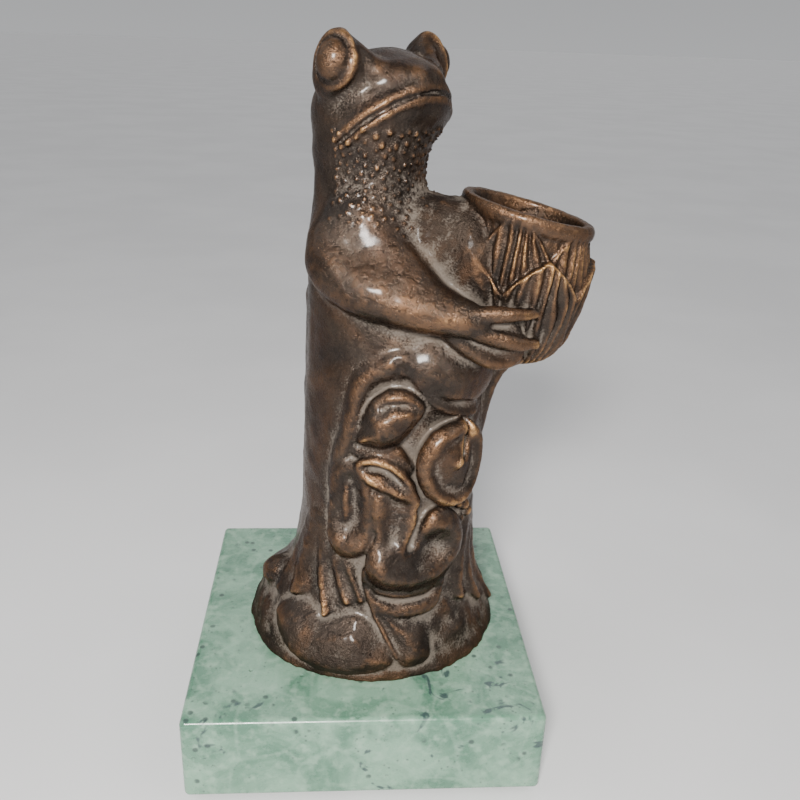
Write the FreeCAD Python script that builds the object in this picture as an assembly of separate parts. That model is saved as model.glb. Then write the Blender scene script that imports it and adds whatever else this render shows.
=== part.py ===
"""Bronze frog that stands on a rocky skirt of lily pads and holds up a lotus cup, on a square marble plinth.

Frame: +Z up, origin at the centre of the felt's underside, X and Y along the plinth's sides, display side -Y.
Millimetres. A heading is an angle about the vertical, measured from +X towards -Y.
"""
import FreeCAD, Part

import math
import os

from FreeCAD import Base, Vector

# Driving dimensions: base and fixings
PLINTH_SIDE = 76.0
PLINTH_THICK = 20.0
PLINTH_EDGE = 1.2
FELT_THICK = 1.0
FELT_INSET = 2.0
FELT_CORNER = 3.0
CLEARANCE_HOLE_R = 3.5
COUNTERBORE_R = 10.0
COUNTERBORE_DEEP = 9.0
SCREW_R = 3.0
SCREW_HEAD_ACROSS_FLATS = 10.0
SCREW_HEAD_TALL = 4.0
SCREW_REACH = 13.0
WASHER_R = 9.0
WASHER_THICK = 1.6
WASHER_HOLE_R = 3.2
SPRING_WASHER_R = 5.9
SPRING_WASHER_GAP = 1.0
BAR_WIDE = 12.0
BAR_THICK = 5.0
BAR_ABOVE_PLINTH = 5.0

# Driving dimensions: bronze
WALL = 3.0
HOLLOW_TOP = 110.0
HEAD_HEADING = 45.0
HEAD_PITCH = 30.0
HEAD_RADII = (12.8, 12.9, 9.3)
MOUTH_LEVEL = -4.7
MOUTH_TALL = 0.9
MOUTH_DEPTH_SHARE = 0.07
MOUTH_CORNER = -2.5
BELLY_CENTRE = (13.6, -7.6, 66.0)
BELLY_RADII = (13.2, 14.5, 13.0)
BELLY_HEADING = 35.0
HEAD_HOLLOW_RADII = (9.0, 9.0, 5.6)
# Eyes, in the head's own directions: forward, left, up
EYE_SOCKET = (3.0, 13.0, 6.6)
EYE_SOCKET_R = 4.7
EYE_BALL = (3.6, 14.7, 6.8)
EYE_BALL_R = 3.4
RIM_TILT = 13.8
PETALS_EACH_ROW = 6
PETAL_HEADING = 6.0
PETAL_WIDEST = 0.42
PETAL_FOOT_SHARE = 0.45

GROUND = FELT_THICK + PLINTH_THICK
HEAD_CENTRE = Vector(2.4, -1.6, GROUND + 117.6)
CUP_MIDDLE_X = 30.1
CUP_Y = -7.0

# The trunk's outline: height above the plinth, centre x, centre y, half width in x, half width in y
TRUNK = [
    (0.0, 4.4, -0.8, 21.8, 20.6),
    (11.0, 4.4, -1.0, 21.2, 20.0),
    (20.0, 4.4, -1.3, 20.2, 19.2),
    (29.0, 5.2, -1.5, 19.2, 18.6),
    (40.0, 5.6, -1.5, 19.3, 18.5),
    (52.0, 6.0, -1.5, 19.3, 18.5),
    (64.0, 6.2, -1.5, 19.0, 18.2),
    (75.0, 5.6, -1.5, 18.0, 17.4),
    (85.0, 4.0, -1.5, 15.9, 15.7),
    (92.0, 2.4, -1.5, 13.8, 13.8),
    (98.0, 0.7, -1.4, 11.9, 11.9),
    (105.0, -0.2, -1.2, 10.9, 10.7),
    (110.0, 0.0, -1.4, 11.3, 11.2),
    (115.0, -0.2, -1.6, 11.4, 11.2),
    (119.5, -0.4, -1.6, 10.4, 10.4),
    (123.5, -0.2, -1.6, 7.6, 7.6),
]

# Limbs: centre-line points with their radii
RIGHT_ARM = [
    ((-3.5, -3.5, 97.5), 5.6),
    ((-7.6, -7.0, 92.5), 5.3),
    ((-7.4, -12.6, 87.6), 5.0),
    ((-1.0, -17.4, 84.4), 4.6),
    ((8.5, -19.6, 81.8), 4.0),
    ((18.0, -20.4, 80.2), 3.2),
    ((21.5, -20.6, 79.8), 2.6),
]
LEFT_ARM = [
    ((5.0, 2.0, 97.0), 5.4),
    ((9.5, 5.5, 92.0), 5.0),
    ((15.0, 8.0, 88.0), 4.6),
    ((22.0, 8.6, 84.5), 3.8),
    ((28.0, 8.0, 82.0), 3.0),
    ((31.0, 7.6, 81.5), 2.4),
]
RIGHT_LEG = [
    ((-4.4, -11.2, 66.0), 4.2),
    ((-6.2, -12.4, 50.0), 4.8),
    ((-7.4, -12.8, 34.0), 4.6),
    ((-8.8, -13.6, 22.0), 4.8),
]
LEFT_LEG = [
    ((17.4, 7.1, 66.0), 4.2),
    ((18.8, 7.8, 50.0), 4.8),
    ((19.8, 8.2, 34.0), 4.6),
    ((21.2, 7.6, 22.0), 4.8),
]
# Feet: centre, half width along the toe line, half thickness
RIGHT_FOOT_HEADING = 124.0
RIGHT_FOOT = [
    ((-7.4, -14.4, 29.0), 3.0, 2.6),
    ((-7.6, -16.2, 23.0), 5.0, 2.8),
    ((-7.8, -17.8, 17.0), 7.4, 2.8),
    ((-7.8, -18.8, 12.0), 8.4, 2.2),
]
LEFT_FOOT_HEADING = -3.0
LEFT_FOOT = [
    ((22.4, 4.6, 27.0), 3.0, 2.4),
    ((24.4, 3.0, 20.0), 5.0, 2.8),
    ((26.4, 1.4, 12.0), 7.4, 2.8),
    ((27.4, 0.6, 5.0), 8.6, 2.2),
]
# Fingers: base, tip, radius
RIGHT_FINGERS = [
    ((20.0, -20.8, 80.6), (30.4, -20.6, 81.8), 1.8),
    ((19.6, -20.6, 79.4), (30.8, -19.8, 75.4), 1.6),
    ((19.0, -20.2, 78.4), (28.4, -18.0, 71.6), 1.6),
]
LEFT_FINGERS = [
    ((29.4, 7.8, 82.2), (38.8, 5.6, 83.4), 1.8),
    ((29.4, 7.6, 81.0), (38.4, 5.0, 79.0), 1.6),
    ((29.0, 7.0, 79.8), (36.6, 3.8, 75.4), 1.6),
]
FINGER_TIP_R = 0.9

# Solid web between the chest and the cup: height above the plinth, centre x, centre y, half widths
WEB = [
    (64.0, 15.0, -4.5, 8.0, 8.0),
    (76.0, 16.0, -4.5, 8.6, 8.6),
    (88.0, 15.6, -4.6, 8.0, 8.0),
    (96.0, 14.6, -4.0, 6.6, 6.2),
    (100.6, 14.2, -3.2, 5.4, 4.2),
]
LOTUS_STALK = [
    ((29.6, -7.0, 68.8), 1.7),
    ((27.4, -6.0, 64.8), 1.5),
    ((25.6, -4.6, 59.0), 1.6),
    ((24.4, -3.0, 52.0), 1.9),
    ((22.6, -2.0, 44.0), 2.2),
]

# Cup, outside and inside: height above the plinth, centre x, radius, share of the rim's tilt
CUP_OUTSIDE = [
    (68.2, 29.6, 2.4, 0.0),
    (69.6, 29.7, 6.2, 0.0),
    (72.4, 29.9, 8.9, 0.1),
    (77.5, 30.1, 10.8, 0.2),
    (83.0, 30.3, 12.2, 0.4),
    (89.0, 30.5, 12.9, 0.6),
    (93.5, 30.7, 12.7, 0.9),
    (95.6, 30.8, 12.5, 1.0),
]
CUP_COLLAR = [
    (94.6, 30.8, 12.2, 1.0),
    (96.4, 30.9, 12.9, 1.0),
    (98.0, 30.9, 13.2, 1.0),
    (99.2, 30.9, 12.6, 1.0),
]
CUP_INSIDE = [
    (74.4, 30.2, 2.0, 0.0),
    (75.6, 30.3, 5.4, 0.1),
    (79.0, 30.4, 8.4, 0.3),
    (84.0, 30.6, 10.3, 0.5),
    (91.0, 30.8, 10.9, 0.8),
    (96.0, 30.9, 10.8, 1.0),
    (101.0, 30.9, 10.7, 1.0),
]
# Petal rows: turn from the first row, height of foot, height of tip, half width, thickness
PETAL_ROWS = [(30.0, 70.0, 95.4, 6.6, 0.5), (0.0, 68.5, 89.5, 7.6, 1.0)]

# Skirt of ground: height above the plinth, centre x, centre y, half width in x, half width in y
GROUND_SKIRT = [
    (0.0, 2.4, 0.2, 28.6, 26.6),
    (2.5, 2.4, 0.2, 28.9, 26.9),
    (6.0, 2.0, 0.6, 27.8, 25.2),
    (9.5, 1.0, 1.8, 25.6, 21.6),
    (13.5, -0.4, 3.6, 22.2, 17.2),
    (18.0, -0.6, 4.0, 18.8, 14.6),
]

# Lily pads: centre, heading, tilt upwards, roll, half width, half height, notch width
LILY_PADS = {
    "lily_pad_folded": ((3.4, -19.6, 62.5), 99.0, 14.0, 38.0, 6.4, 7.8, 0.0),
    "lily_pad_notched": ((17.8, -17.2, 48.8), 58.0, 18.0, -4.0, 8.2, 8.6, 1.8),
    "lily_pad_slim": ((3.6, -20.0, 45.2), 97.0, 40.0, -24.0, 5.2, 4.0, 0.0),
    "lily_pad_hollow": ((-3.6, -18.0, 34.6), 119.0, 6.0, 4.0, 4.8, 8.4, 0.0),
    "lily_pad_open": ((9.2, -21.4, 28.6), 82.0, 22.0, 16.0, 9.2, 8.0, 2.0),
    "lily_pad_low": ((7.6, -23.0, 18.6), 84.0, 40.0, 0.0, 7.8, 5.0, 0.0),
    "ground_pad_front": ((-1.8, -22.6, 9.4), 106.0, 38.0, 0.0, 13.0, 7.4, 0.0),
    "ground_pad_side": ((13.0, -22.4, 9.4), 66.0, 38.0, 0.0, 6.0, 6.6, 0.0),
}
PAD_THICK = 1.6
PAD_DISH_R = 24.0
PAD_BOSS_R = 2.6
PAD_BOSS_LONG = 7.0
PAD_SAG = 0.6
PAD_DEEP = 5.0
BOSS_INSET = 0.2

RING_POINTS = 16
BEYOND = 60.0


def turn(shape, heading):
    """Turns a shape whose front is +X to a heading, about the vertical through the origin."""
    shape.rotate(Vector(0, 0, 0), Vector(0, 0, 1), -heading)
    return shape


def outward(heading):
    """The level direction of a heading."""
    a = math.radians(heading)
    return Vector(math.cos(a), -math.sin(a), 0)


def ring(centre, across, up, half_a, half_b):
    """A closed smooth wire: an ellipse about centre, in the plane of the unit vectors across and up."""
    points = []
    for i in range(RING_POINTS):
        t = 2 * math.pi * i / RING_POINTS
        points.append(centre + across * (half_a * math.cos(t)) + up * (half_b * math.sin(t)))
    curve = Part.BSplineCurve()
    curve.interpolate(points, PeriodicFlag=True)
    return Part.Wire([curve.toShape()])


def level_loft(sections, shrink=0.0, to_height=math.inf):
    """A solid through level ellipses (height above the plinth, centre, half widths), drawn in by shrink."""
    wires = []
    for height, cx, cy, rx, ry in sections:
        if height > to_height:
            break
        centre = Vector(cx, cy, GROUND + height)
        wires.append(ring(centre, Vector(1, 0, 0), Vector(0, 1, 0), rx - shrink, ry - shrink))
    return Part.makeLoft(wires, True, False)


def limb(stations):
    """A round tapering solid along a centre line, with round ends."""
    points = [Vector(x, y, GROUND + z) for (x, y, z), _ in stations]
    radii = [r for _, r in stations]
    wires = []
    across = None
    for i, point in enumerate(points):
        ahead = points[min(i + 1, len(points) - 1)]
        behind = points[max(i - 1, 0)]
        along = (ahead - behind).normalize()
        if across is None:
            across = along.cross(Vector(0, 0, 1)).normalize()
        across = (across - along * across.dot(along)).normalize()
        wires.append(ring(point, across, along.cross(across), radii[i], radii[i]))
    solid = Part.makeLoft(wires, True, False)
    ends = [Part.makeSphere(radii[0] * 0.98, points[0]), Part.makeSphere(radii[-1] * 0.98, points[-1])]
    return solid.fuse(ends)


def digit(base, tip, base_r, tip_r):
    """A finger or toe: a cone with a round tip."""
    a = Vector(base[0], base[1], GROUND + base[2])
    b = Vector(tip[0], tip[1], GROUND + tip[2])
    cone = Part.makeCone(base_r, tip_r, (b - a).Length, a, b - a)
    return cone.fuse(Part.makeSphere(tip_r * 1.15, b))


def ellipsoid(centre, radii, heading, pitch):
    """An ellipsoid whose first radius points along heading, raised by pitch."""
    matrix = Base.Matrix()
    matrix.scale(*radii)
    matrix.rotateY(-math.radians(pitch))
    matrix.rotateZ(-math.radians(heading))
    matrix.move(centre)
    return Part.makeSphere(1.0).transformGeometry(matrix)


def in_head(forward, left, up):
    """A point given in the head's own directions, as a point of the frame."""
    rotation = Base.Rotation(Vector(0, 0, 1), -HEAD_HEADING) * Base.Rotation(Vector(0, 1, 0), -HEAD_PITCH)
    return HEAD_CENTRE + rotation.multVec(Vector(forward, left, up))


def head():
    """The head with its raised eyes and the groove of the mouth."""
    skull = ellipsoid(HEAD_CENTRE, HEAD_RADII, HEAD_HEADING, HEAD_PITCH)
    inside_radii = [r * (1 - MOUTH_DEPTH_SHARE) for r in HEAD_RADII]
    inside = ellipsoid(HEAD_CENTRE, inside_radii, HEAD_HEADING, HEAD_PITCH)
    up = in_head(0, 0, 1) - HEAD_CENTRE
    slit = Part.makeCylinder(BEYOND, MOUTH_TALL, in_head(0, 0, MOUTH_LEVEL), up).cut(inside)
    back = Part.makeBox(BEYOND, BEYOND, BEYOND, Vector(MOUTH_CORNER - BEYOND, -BEYOND / 2, -BEYOND / 2))
    back.rotate(Vector(0, 0, 0), Vector(0, 1, 0), -HEAD_PITCH)
    back = turn(back, HEAD_HEADING)
    back.translate(HEAD_CENTRE)
    skull = skull.cut(slit.cut(back))
    for side in (-1, 1):
        for (forward, left, rise), radius in ((EYE_SOCKET, EYE_SOCKET_R), (EYE_BALL, EYE_BALL_R)):
            skull = skull.fuse(Part.makeSphere(radius, in_head(forward, side * left, rise)))
    return skull


def foot(heading, stations):
    """A webbed foot that fans out down the trunk: centre, half width along the toe line, half thickness."""
    away = outward(heading)
    across = away.cross(Vector(0, 0, 1))
    wires = [ring(Vector(x, y, GROUND + z), across, away, wide, thick) for (x, y, z), wide, thick in stations]
    return Part.makeLoft(wires, True, False)


def outer_trunk():
    """The column of the body, solid, with the belly that hangs over the lily pads."""
    x, y, height = BELLY_CENTRE
    belly = ellipsoid(Vector(x, y, GROUND + height), BELLY_RADII, BELLY_HEADING, 0.0)
    return level_loft(TRUNK).fuse([belly, level_loft(WEB)])


def core():
    """The hollow inside the casting, open at the foot."""
    shaft = level_loft(TRUNK, WALL, to_height=HOLLOW_TOP)
    return shaft.fuse(ellipsoid(HEAD_CENTRE, HEAD_HOLLOW_RADII, HEAD_HEADING, HEAD_PITCH))


def fingers():
    """The fingers of both hands, laid on the cup."""
    return [digit(base, tip, r, FINGER_TIP_R) for base, tip, r in RIGHT_FINGERS + LEFT_FINGERS]


def cup_loft(sections, swell=0.0):
    """A solid through round sections that lean over gradually, grown outwards by swell."""
    wires = []
    for height, cx, radius, share in sections:
        tilt = math.radians(RIM_TILT * share)
        across = Vector(math.cos(tilt), 0, -math.sin(tilt))
        centre = Vector(cx, CUP_Y, GROUND + height)
        wires.append(ring(centre, across, Vector(0, 1, 0), radius + swell, radius + swell))
    return Part.makeLoft(wires, True, False)


def petal_prism(heading, foot_height, tip_height, half_wide):
    """A pointed arch, drawn on an upright plane outside the cup and pushed in to its axis."""
    middle = foot_height + PETAL_WIDEST * (tip_height - foot_height)
    half_foot = half_wide * PETAL_FOOT_SHARE
    low_left = Vector(BEYOND, -half_foot, foot_height)
    low_right = Vector(BEYOND, half_foot, foot_height)
    top = Vector(BEYOND, 0, tip_height)
    left = Part.Arc(low_left, Vector(BEYOND, -half_wide, middle), top).toShape()
    right = Part.Arc(top, Vector(BEYOND, half_wide, middle), low_right).toShape()
    base = Part.LineSegment(low_right, low_left).toShape()
    prism = Part.Face(Part.Wire([left, right, base])).extrude(Vector(-BEYOND, 0, 0))
    prism = turn(prism, heading)
    prism.translate(Vector(CUP_MIDDLE_X, CUP_Y, GROUND))
    return prism


def lotus_cup():
    """The cup: a bowl with two rows of raised petals, under a flared collar whose rim tilts outwards."""
    cup = cup_loft(CUP_OUTSIDE).fuse(cup_loft(CUP_COLLAR))
    for turned, foot_height, tip_height, half_wide, thick in PETAL_ROWS:
        shell = cup_loft(CUP_OUTSIDE, thick)
        for i in range(PETALS_EACH_ROW):
            heading = PETAL_HEADING + turned + 360.0 / PETALS_EACH_ROW * i
            cup = cup.fuse(shell.common(petal_prism(heading, foot_height, tip_height, half_wide)))
    return cup.cut(cup_loft(CUP_INSIDE))


def lily_pad(centre, heading, tilt, roll, half_wide, half_tall, notch):
    """A dished leaf with a boss behind it. It faces along its heading, tipped up by tilt."""
    disc = ellipsoid(Vector(0, 0, 0), (half_wide, half_tall, BEYOND), 0.0, 0.0)
    bowl_centre = Vector(0, 0, PAD_DISH_R - PAD_SAG)
    shell = Part.makeSphere(PAD_DISH_R, bowl_centre).cut(Part.makeSphere(PAD_DISH_R - PAD_THICK, bowl_centre))
    block = Part.makeBox(BEYOND, BEYOND, 2 * PAD_DEEP, Vector(-BEYOND / 2, -BEYOND / 2, -PAD_DEEP))
    leaf = shell.common(disc).common(block)
    if notch:
        leaf = leaf.cut(Part.makeBox(notch, BEYOND, 2 * PAD_DEEP, Vector(-notch / 2, 0, -PAD_DEEP)))
    leaf = leaf.fuse(Part.makeCylinder(PAD_BOSS_R, PAD_BOSS_LONG, Vector(0, 0, -PAD_BOSS_LONG - BOSS_INSET)))
    leaf.rotate(Vector(0, 0, 0), Vector(0, 0, 1), roll)
    leaf.rotate(Vector(0, 0, 0), Vector(1, 0, 0), 90.0 - tilt)
    leaf.rotate(Vector(0, 0, 0), Vector(0, 0, 1), 90.0 - heading)
    leaf.translate(Vector(centre[0], centre[1], GROUND + centre[2]))
    return leaf


def marble_plinth():
    """The square block, with a clearance hole and a counterbore from below."""
    half = PLINTH_SIDE / 2
    block = Part.makeBox(PLINTH_SIDE, PLINTH_SIDE, PLINTH_THICK, Vector(-half, -half, FELT_THICK))
    block = block.makeFillet(PLINTH_EDGE, block.Edges)
    hole = Part.makeCylinder(CLEARANCE_HOLE_R, PLINTH_THICK, Vector(0, 0, FELT_THICK))
    counterbore = Part.makeCylinder(COUNTERBORE_R, COUNTERBORE_DEEP, Vector(0, 0, FELT_THICK))
    return block.cut(hole).cut(counterbore)


def felt_pad():
    """The glued sheet under the plinth, which hides the screw."""
    side = PLINTH_SIDE - 2 * FELT_INSET
    sheet = Part.makeBox(side, side, FELT_THICK, Vector(-side / 2, -side / 2, 0))
    upright = [edge for edge in sheet.Edges if math.isclose(edge.BoundBox.ZLength, FELT_THICK, abs_tol=1e-6)]
    return sheet.makeFillet(FELT_CORNER, upright)


def washer(radius, low):
    """A washer whose underside is at low."""
    disc = Part.makeCylinder(radius, WASHER_THICK, Vector(0, 0, low))
    return disc.cut(Part.makeCylinder(WASHER_HOLE_R, PLINTH_THICK, Vector(0, 0, 0)))


def screw(head_top):
    """The hexagon-headed screw, whose head touches the washers at head_top."""
    corner_r = SCREW_HEAD_ACROSS_FLATS / 2 / math.cos(math.pi / 6)
    low = head_top - SCREW_HEAD_TALL
    corners = []
    for i in range(7):
        angle = math.pi / 3 * i
        corners.append(Vector(corner_r * math.cos(angle), corner_r * math.sin(angle), low))
    hexagon = Part.Face(Part.makePolygon(corners)).extrude(Vector(0, 0, SCREW_HEAD_TALL))
    return hexagon.fuse(Part.makeCylinder(SCREW_R, GROUND + SCREW_REACH - head_top, Vector(0, 0, head_top)))


def fixings(hollow):
    """Screw, washers and the tapped bar brazed across the inside of the casting."""
    ceiling = FELT_THICK + COUNTERBORE_DEEP
    spring_low = ceiling - 2 * WASHER_THICK
    slit = Part.makeBox(SPRING_WASHER_GAP, BEYOND, BEYOND, Vector(-SPRING_WASHER_GAP / 2, 0, 0))
    bar_corner = Vector(-BEYOND / 2, -BAR_WIDE / 2, GROUND + BAR_ABOVE_PLINTH)
    bar = Part.makeBox(BEYOND, BAR_WIDE, BAR_THICK, bar_corner).common(hollow)
    return {
        "flat_washer": washer(WASHER_R, ceiling - WASHER_THICK),
        "spring_washer": washer(SPRING_WASHER_R, spring_low).cut(slit),
        "mounting_screw": screw(spring_low),
        "mounting_bar": bar.cut(Part.makeCylinder(SCREW_R, BEYOND, Vector(0, 0, 0))),
    }


def build():
    """Every node's shape, by name."""
    trunk = outer_trunk()
    hollow = core()
    nodes = {"felt_pad": felt_pad(), "marble_plinth": marble_plinth()}
    nodes.update(fixings(hollow))
    cup = lotus_cup()
    cup_space = cup_loft(CUP_OUTSIDE, PETAL_ROWS[-1][-1]).fuse(cup_loft(CUP_COLLAR))
    legs = [limb(RIGHT_LEG), limb(LEFT_LEG)]
    ground = level_loft(GROUND_SKIRT).cut(trunk)
    for leg in legs:
        ground = ground.cut(leg)
    frog = trunk
    for part in [head(), limb(RIGHT_ARM), limb(LEFT_ARM)] + legs + fingers():
        frog = frog.fuse(part)
    frog = frog.cut(cup_space)
    nodes.update({"lotus_cup": cup, "body_casting": frog.cut(hollow), "ground_casting": ground})
    laid_on = {
        "right_foot": foot(RIGHT_FOOT_HEADING, RIGHT_FOOT),
        "left_foot": foot(LEFT_FOOT_HEADING, LEFT_FOOT),
        "lotus_stalk": limb(LOTUS_STALK),
    }
    for name, values in LILY_PADS.items():
        laid_on[name] = lily_pad(*values)
    taken = [cup, frog, ground]
    for name, shape in laid_on.items():
        for other in taken:
            shape = shape.cut(other)
        nodes[name] = shape
        taken.append(shape)
    return nodes


def largest_solid(shape):
    """The main solid of a shape, without slivers that a cut has left."""
    return max(shape.Solids, key=lambda s: s.Volume)


os.makedirs("parts", exist_ok=True)
for node, made in build().items():
    made = largest_solid(made)
    print(f"{node:18s} valid {made.isValid()} volume {made.Volume / 1000:8.2f} cm3 faces {len(made.Faces)}")
    made.exportStep(f"parts/{node}.step")
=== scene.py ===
"""Looks of the bronze frog with its lotus cup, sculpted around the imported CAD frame.

Each bronze casting is modelled as clay: signed distances on a grid, in millimetres, to which round forms are
added and from which they are carved. A heading is an angle about the vertical in degrees, measured from +X
towards -Y, and a height is measured from the top of the plinth.
"""

import math

import bmesh
import bpy
import numpy as np
import openvdb
from mathutils import Matrix, Vector


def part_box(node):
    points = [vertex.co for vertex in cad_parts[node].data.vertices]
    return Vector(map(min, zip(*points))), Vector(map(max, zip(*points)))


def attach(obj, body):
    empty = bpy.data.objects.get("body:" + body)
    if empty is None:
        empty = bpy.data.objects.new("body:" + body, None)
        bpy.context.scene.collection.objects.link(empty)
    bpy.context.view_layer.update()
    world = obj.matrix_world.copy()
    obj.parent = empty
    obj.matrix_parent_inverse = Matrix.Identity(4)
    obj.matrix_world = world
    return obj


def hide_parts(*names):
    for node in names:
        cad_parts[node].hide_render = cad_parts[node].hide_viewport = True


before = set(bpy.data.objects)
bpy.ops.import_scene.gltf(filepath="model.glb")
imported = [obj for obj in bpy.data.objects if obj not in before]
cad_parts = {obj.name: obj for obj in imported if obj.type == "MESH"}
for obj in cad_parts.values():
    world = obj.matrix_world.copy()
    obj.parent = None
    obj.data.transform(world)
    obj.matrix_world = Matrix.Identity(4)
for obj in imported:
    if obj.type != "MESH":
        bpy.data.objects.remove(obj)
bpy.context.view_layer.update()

MM = 0.001
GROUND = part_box("marble_plinth")[1].z / MM
# The distance that stands for empty space, and how far beyond its box a form is worked in
FAR = 9.0
REACH = 3.0
FROG_VOXEL, GROUND_VOXEL, WHOLE_VOXEL = 0.42, 0.4, 0.5
CUP_VOXEL = PAD_VOXEL = 0.26
MAX_TRIANGLES = 190_000
RNG = np.random.default_rng(11)


# ------------ clay

def smooth_min(a, b, soft):
    """The union of two distances, with a fillet about soft wide."""
    if np.isscalar(soft) and soft <= 0:
        return np.minimum(a, b)
    h = np.clip(0.5 + 0.5 * (b - a) / soft, 0, 1)
    return b + (a - b) * h - soft * h * (1 - h)


def smooth_max(a, b, soft):
    return -smooth_min(-a, -b, soft)


def step(low, high, x):
    """0 below low, 1 above high, smooth between."""
    t = np.clip((x - low) / (high - low), 0, 1)
    return t * t * (3 - 2 * t)


def flow(table, column, height):
    """A smooth curve through one column of a table whose first column is the height."""
    xs = np.array([row[0] for row in table], np.float32)
    ys = np.array([row[column] for row in table], np.float32)
    slopes = np.gradient(ys, xs)
    i = np.clip(np.searchsorted(xs, height) - 1, 0, len(xs) - 2)
    wide = xs[i + 1] - xs[i]
    t = np.clip((height - xs[i]) / wide, 0, 1)
    t2, t3 = t * t, t * t * t
    near = (2 * t3 - 3 * t2 + 1) * ys[i] + (t3 - 2 * t2 + t) * wide * slopes[i]
    return near + (3 * t2 - 2 * t3) * ys[i + 1] + (t3 - t2) * wide * slopes[i + 1]


class Clay:
    """A block of signed distances in millimetres, negative inside.

    rough says where the surface is left rough, and gilding how much gold its finest ridges show.
    """

    def __init__(self, low, high, voxel, gilding=0.22):
        self.voxel, self.gilding = voxel, gilding
        self.axes = [np.arange(a, b + voxel, voxel, dtype=np.float32) for a, b in zip(low, high)]
        self.d = np.full([len(axis) for axis in self.axes], FAR, np.float32)
        self.rough = np.zeros_like(self.d)

    def grid(self):
        """The coordinates of the block, which spread over it when they are combined."""
        return np.meshgrid(*self.axes, indexing="ij", sparse=True)

    def window(self, low, high, margin):
        """The slices that hold a box, and its coordinates, or None if it is outside the block."""
        cut = []
        for axis, a, b in zip(self.axes, low, high):
            first, last = np.searchsorted(axis, (a - margin, b + margin))
            if last - first < 1:
                return None
            cut.append(slice(first, last))
        x, y, z = (axis[s] for axis, s in zip(self.axes, cut))
        return tuple(cut), x[:, None, None], y[None, :, None], z[None, None, :]

    def work(self, shape, soft, blend, sign):
        low, high, distance = shape
        found = self.window(low, high, soft + REACH)
        if found:
            cut, x, y, z = found
            self.d[cut] = blend(self.d[cut], sign * distance(x, y, z), soft)

    def add(self, shape, soft=0.0):
        self.work(shape, soft, smooth_min, 1)

    def carve(self, shape, soft=0.0):
        self.work(shape, soft, smooth_max, -1)

    def sample(self, points, values=None):
        """Distances at points, by linear interpolation; FAR outside the block."""
        values = self.d if values is None else values
        spots = [(points[:, k] - self.axes[k][0]) / self.voxel for k in range(3)]
        inside = np.all([(s >= 0) & (s < n - 1.001) for s, n in zip(spots, self.d.shape)], axis=0)
        out = np.full(len(points), FAR, np.float32)
        spots = [s[inside] for s in spots]
        base = [s.astype(int) for s in spots]
        part = [s - b for s, b in zip(spots, base)]
        total = 0
        for corner in range(8):
            bits = [corner >> k & 1 for k in range(3)]
            weight = 1
            for k in range(3):
                weight = weight * (part[k] if bits[k] else 1 - part[k])
            total = total + weight * values[tuple(base[k] + bits[k] for k in range(3))]
        out[inside] = total
        return out

    def bend(self, wide):
        """How the surface bends, felt over a cube of half side wide: ridges are positive."""
        n = max(1, round(wide / self.voxel))
        blurred = self.d
        for axis in range(3):
            padded = np.pad(blurred, [(n + 1, n) if k == axis else (0, 0) for k in range(3)], mode="edge")
            sums = np.cumsum(padded, axis=axis, dtype=np.float32)
            high = np.take(sums, range(2 * n + 1, padded.shape[axis]), axis=axis)
            low = np.take(sums, range(0, padded.shape[axis] - 2 * n - 1), axis=axis)
            blurred = (high - low) / (2 * n + 1)
        return (blurred - self.d) * 6 / (n * self.voxel) ** 2

    def skin(self):
        """Vertices in millimetres, and quads, of the surface."""
        grid = openvdb.FloatGrid(FAR)
        grid.copyFromArray(self.d)
        points, quads = grid.convertToQuads(isovalue=0.0)
        low = np.array([axis[0] for axis in self.axes])
        return points.astype(np.float64) * self.voxel + low, quads


# ------------ forms

def norm(*parts):
    return np.sqrt(sum(p * p for p in parts))


def egg(centre, radii, turn=None):
    """An ellipsoid; turn is a 3 x 3 matrix whose rows are its own axes."""
    c = np.array(centre, np.float32)
    r = np.array(radii, np.float32)
    axes = np.eye(3) if turn is None else np.array(turn)
    reach = np.sqrt(((axes * r[:, None]) ** 2).sum(0))

    def distance(x, y, z):
        p = [ax * (x - c[0]) + ay * (y - c[1]) + az * (z - c[2]) for ax, ay, az in axes]
        k0 = norm(*(p[k] / r[k] for k in range(3)))
        k1 = norm(*(p[k] / r[k] ** 2 for k in range(3)))
        return k0 * (k0 - 1) / np.maximum(k1, 1e-4)

    return c - reach, c + reach, distance


def bar(a, b, ra, rb):
    """A tapering bar with round ends."""
    a, b = np.array(a, np.float32), np.array(b, np.float32)
    along = b - a
    long2 = float(along @ along) + 1e-6

    def distance(x, y, z):
        px, py, pz = x - a[0], y - a[1], z - a[2]
        t = np.clip((px * along[0] + py * along[1] + pz * along[2]) / long2, 0, 1)
        return norm(px - t * along[0], py - t * along[1], pz - t * along[2]) - (ra + t * (rb - ra))

    wide = max(ra, rb)
    return np.minimum(a, b) - wide, np.maximum(a, b) + wide, distance


def spline(p, steps):
    """Points along a smooth curve through p, whose first point and last two only steer it."""
    out, shares = [], np.arange(steps) / steps
    for i in range(1, len(p) - 2):
        a, b, c, d = p[i - 1:i + 3]
        square, cube = 2 * a - 5 * b + 4 * c - d, 3 * b - a - 3 * c + d
        out += [0.5 * (2 * b + (c - a) * t + square * t ** 2 + cube * t ** 3) for t in shares]
    return out


def curve(points, steps=6):
    """Points along a smooth curve through the given points."""
    p = np.array(points, float)
    p = np.vstack([2 * p[0] - p[1], p, 2 * p[-1] - p[-2]])
    return np.array([*spline(p, steps), p[-2]])


def closed_curve(points, steps=4):
    """A smooth closed curve through points."""
    n = len(points)
    return np.array(spline(np.array([points[(i - 1) % n] for i in range(n + 3)], float), steps))


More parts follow.
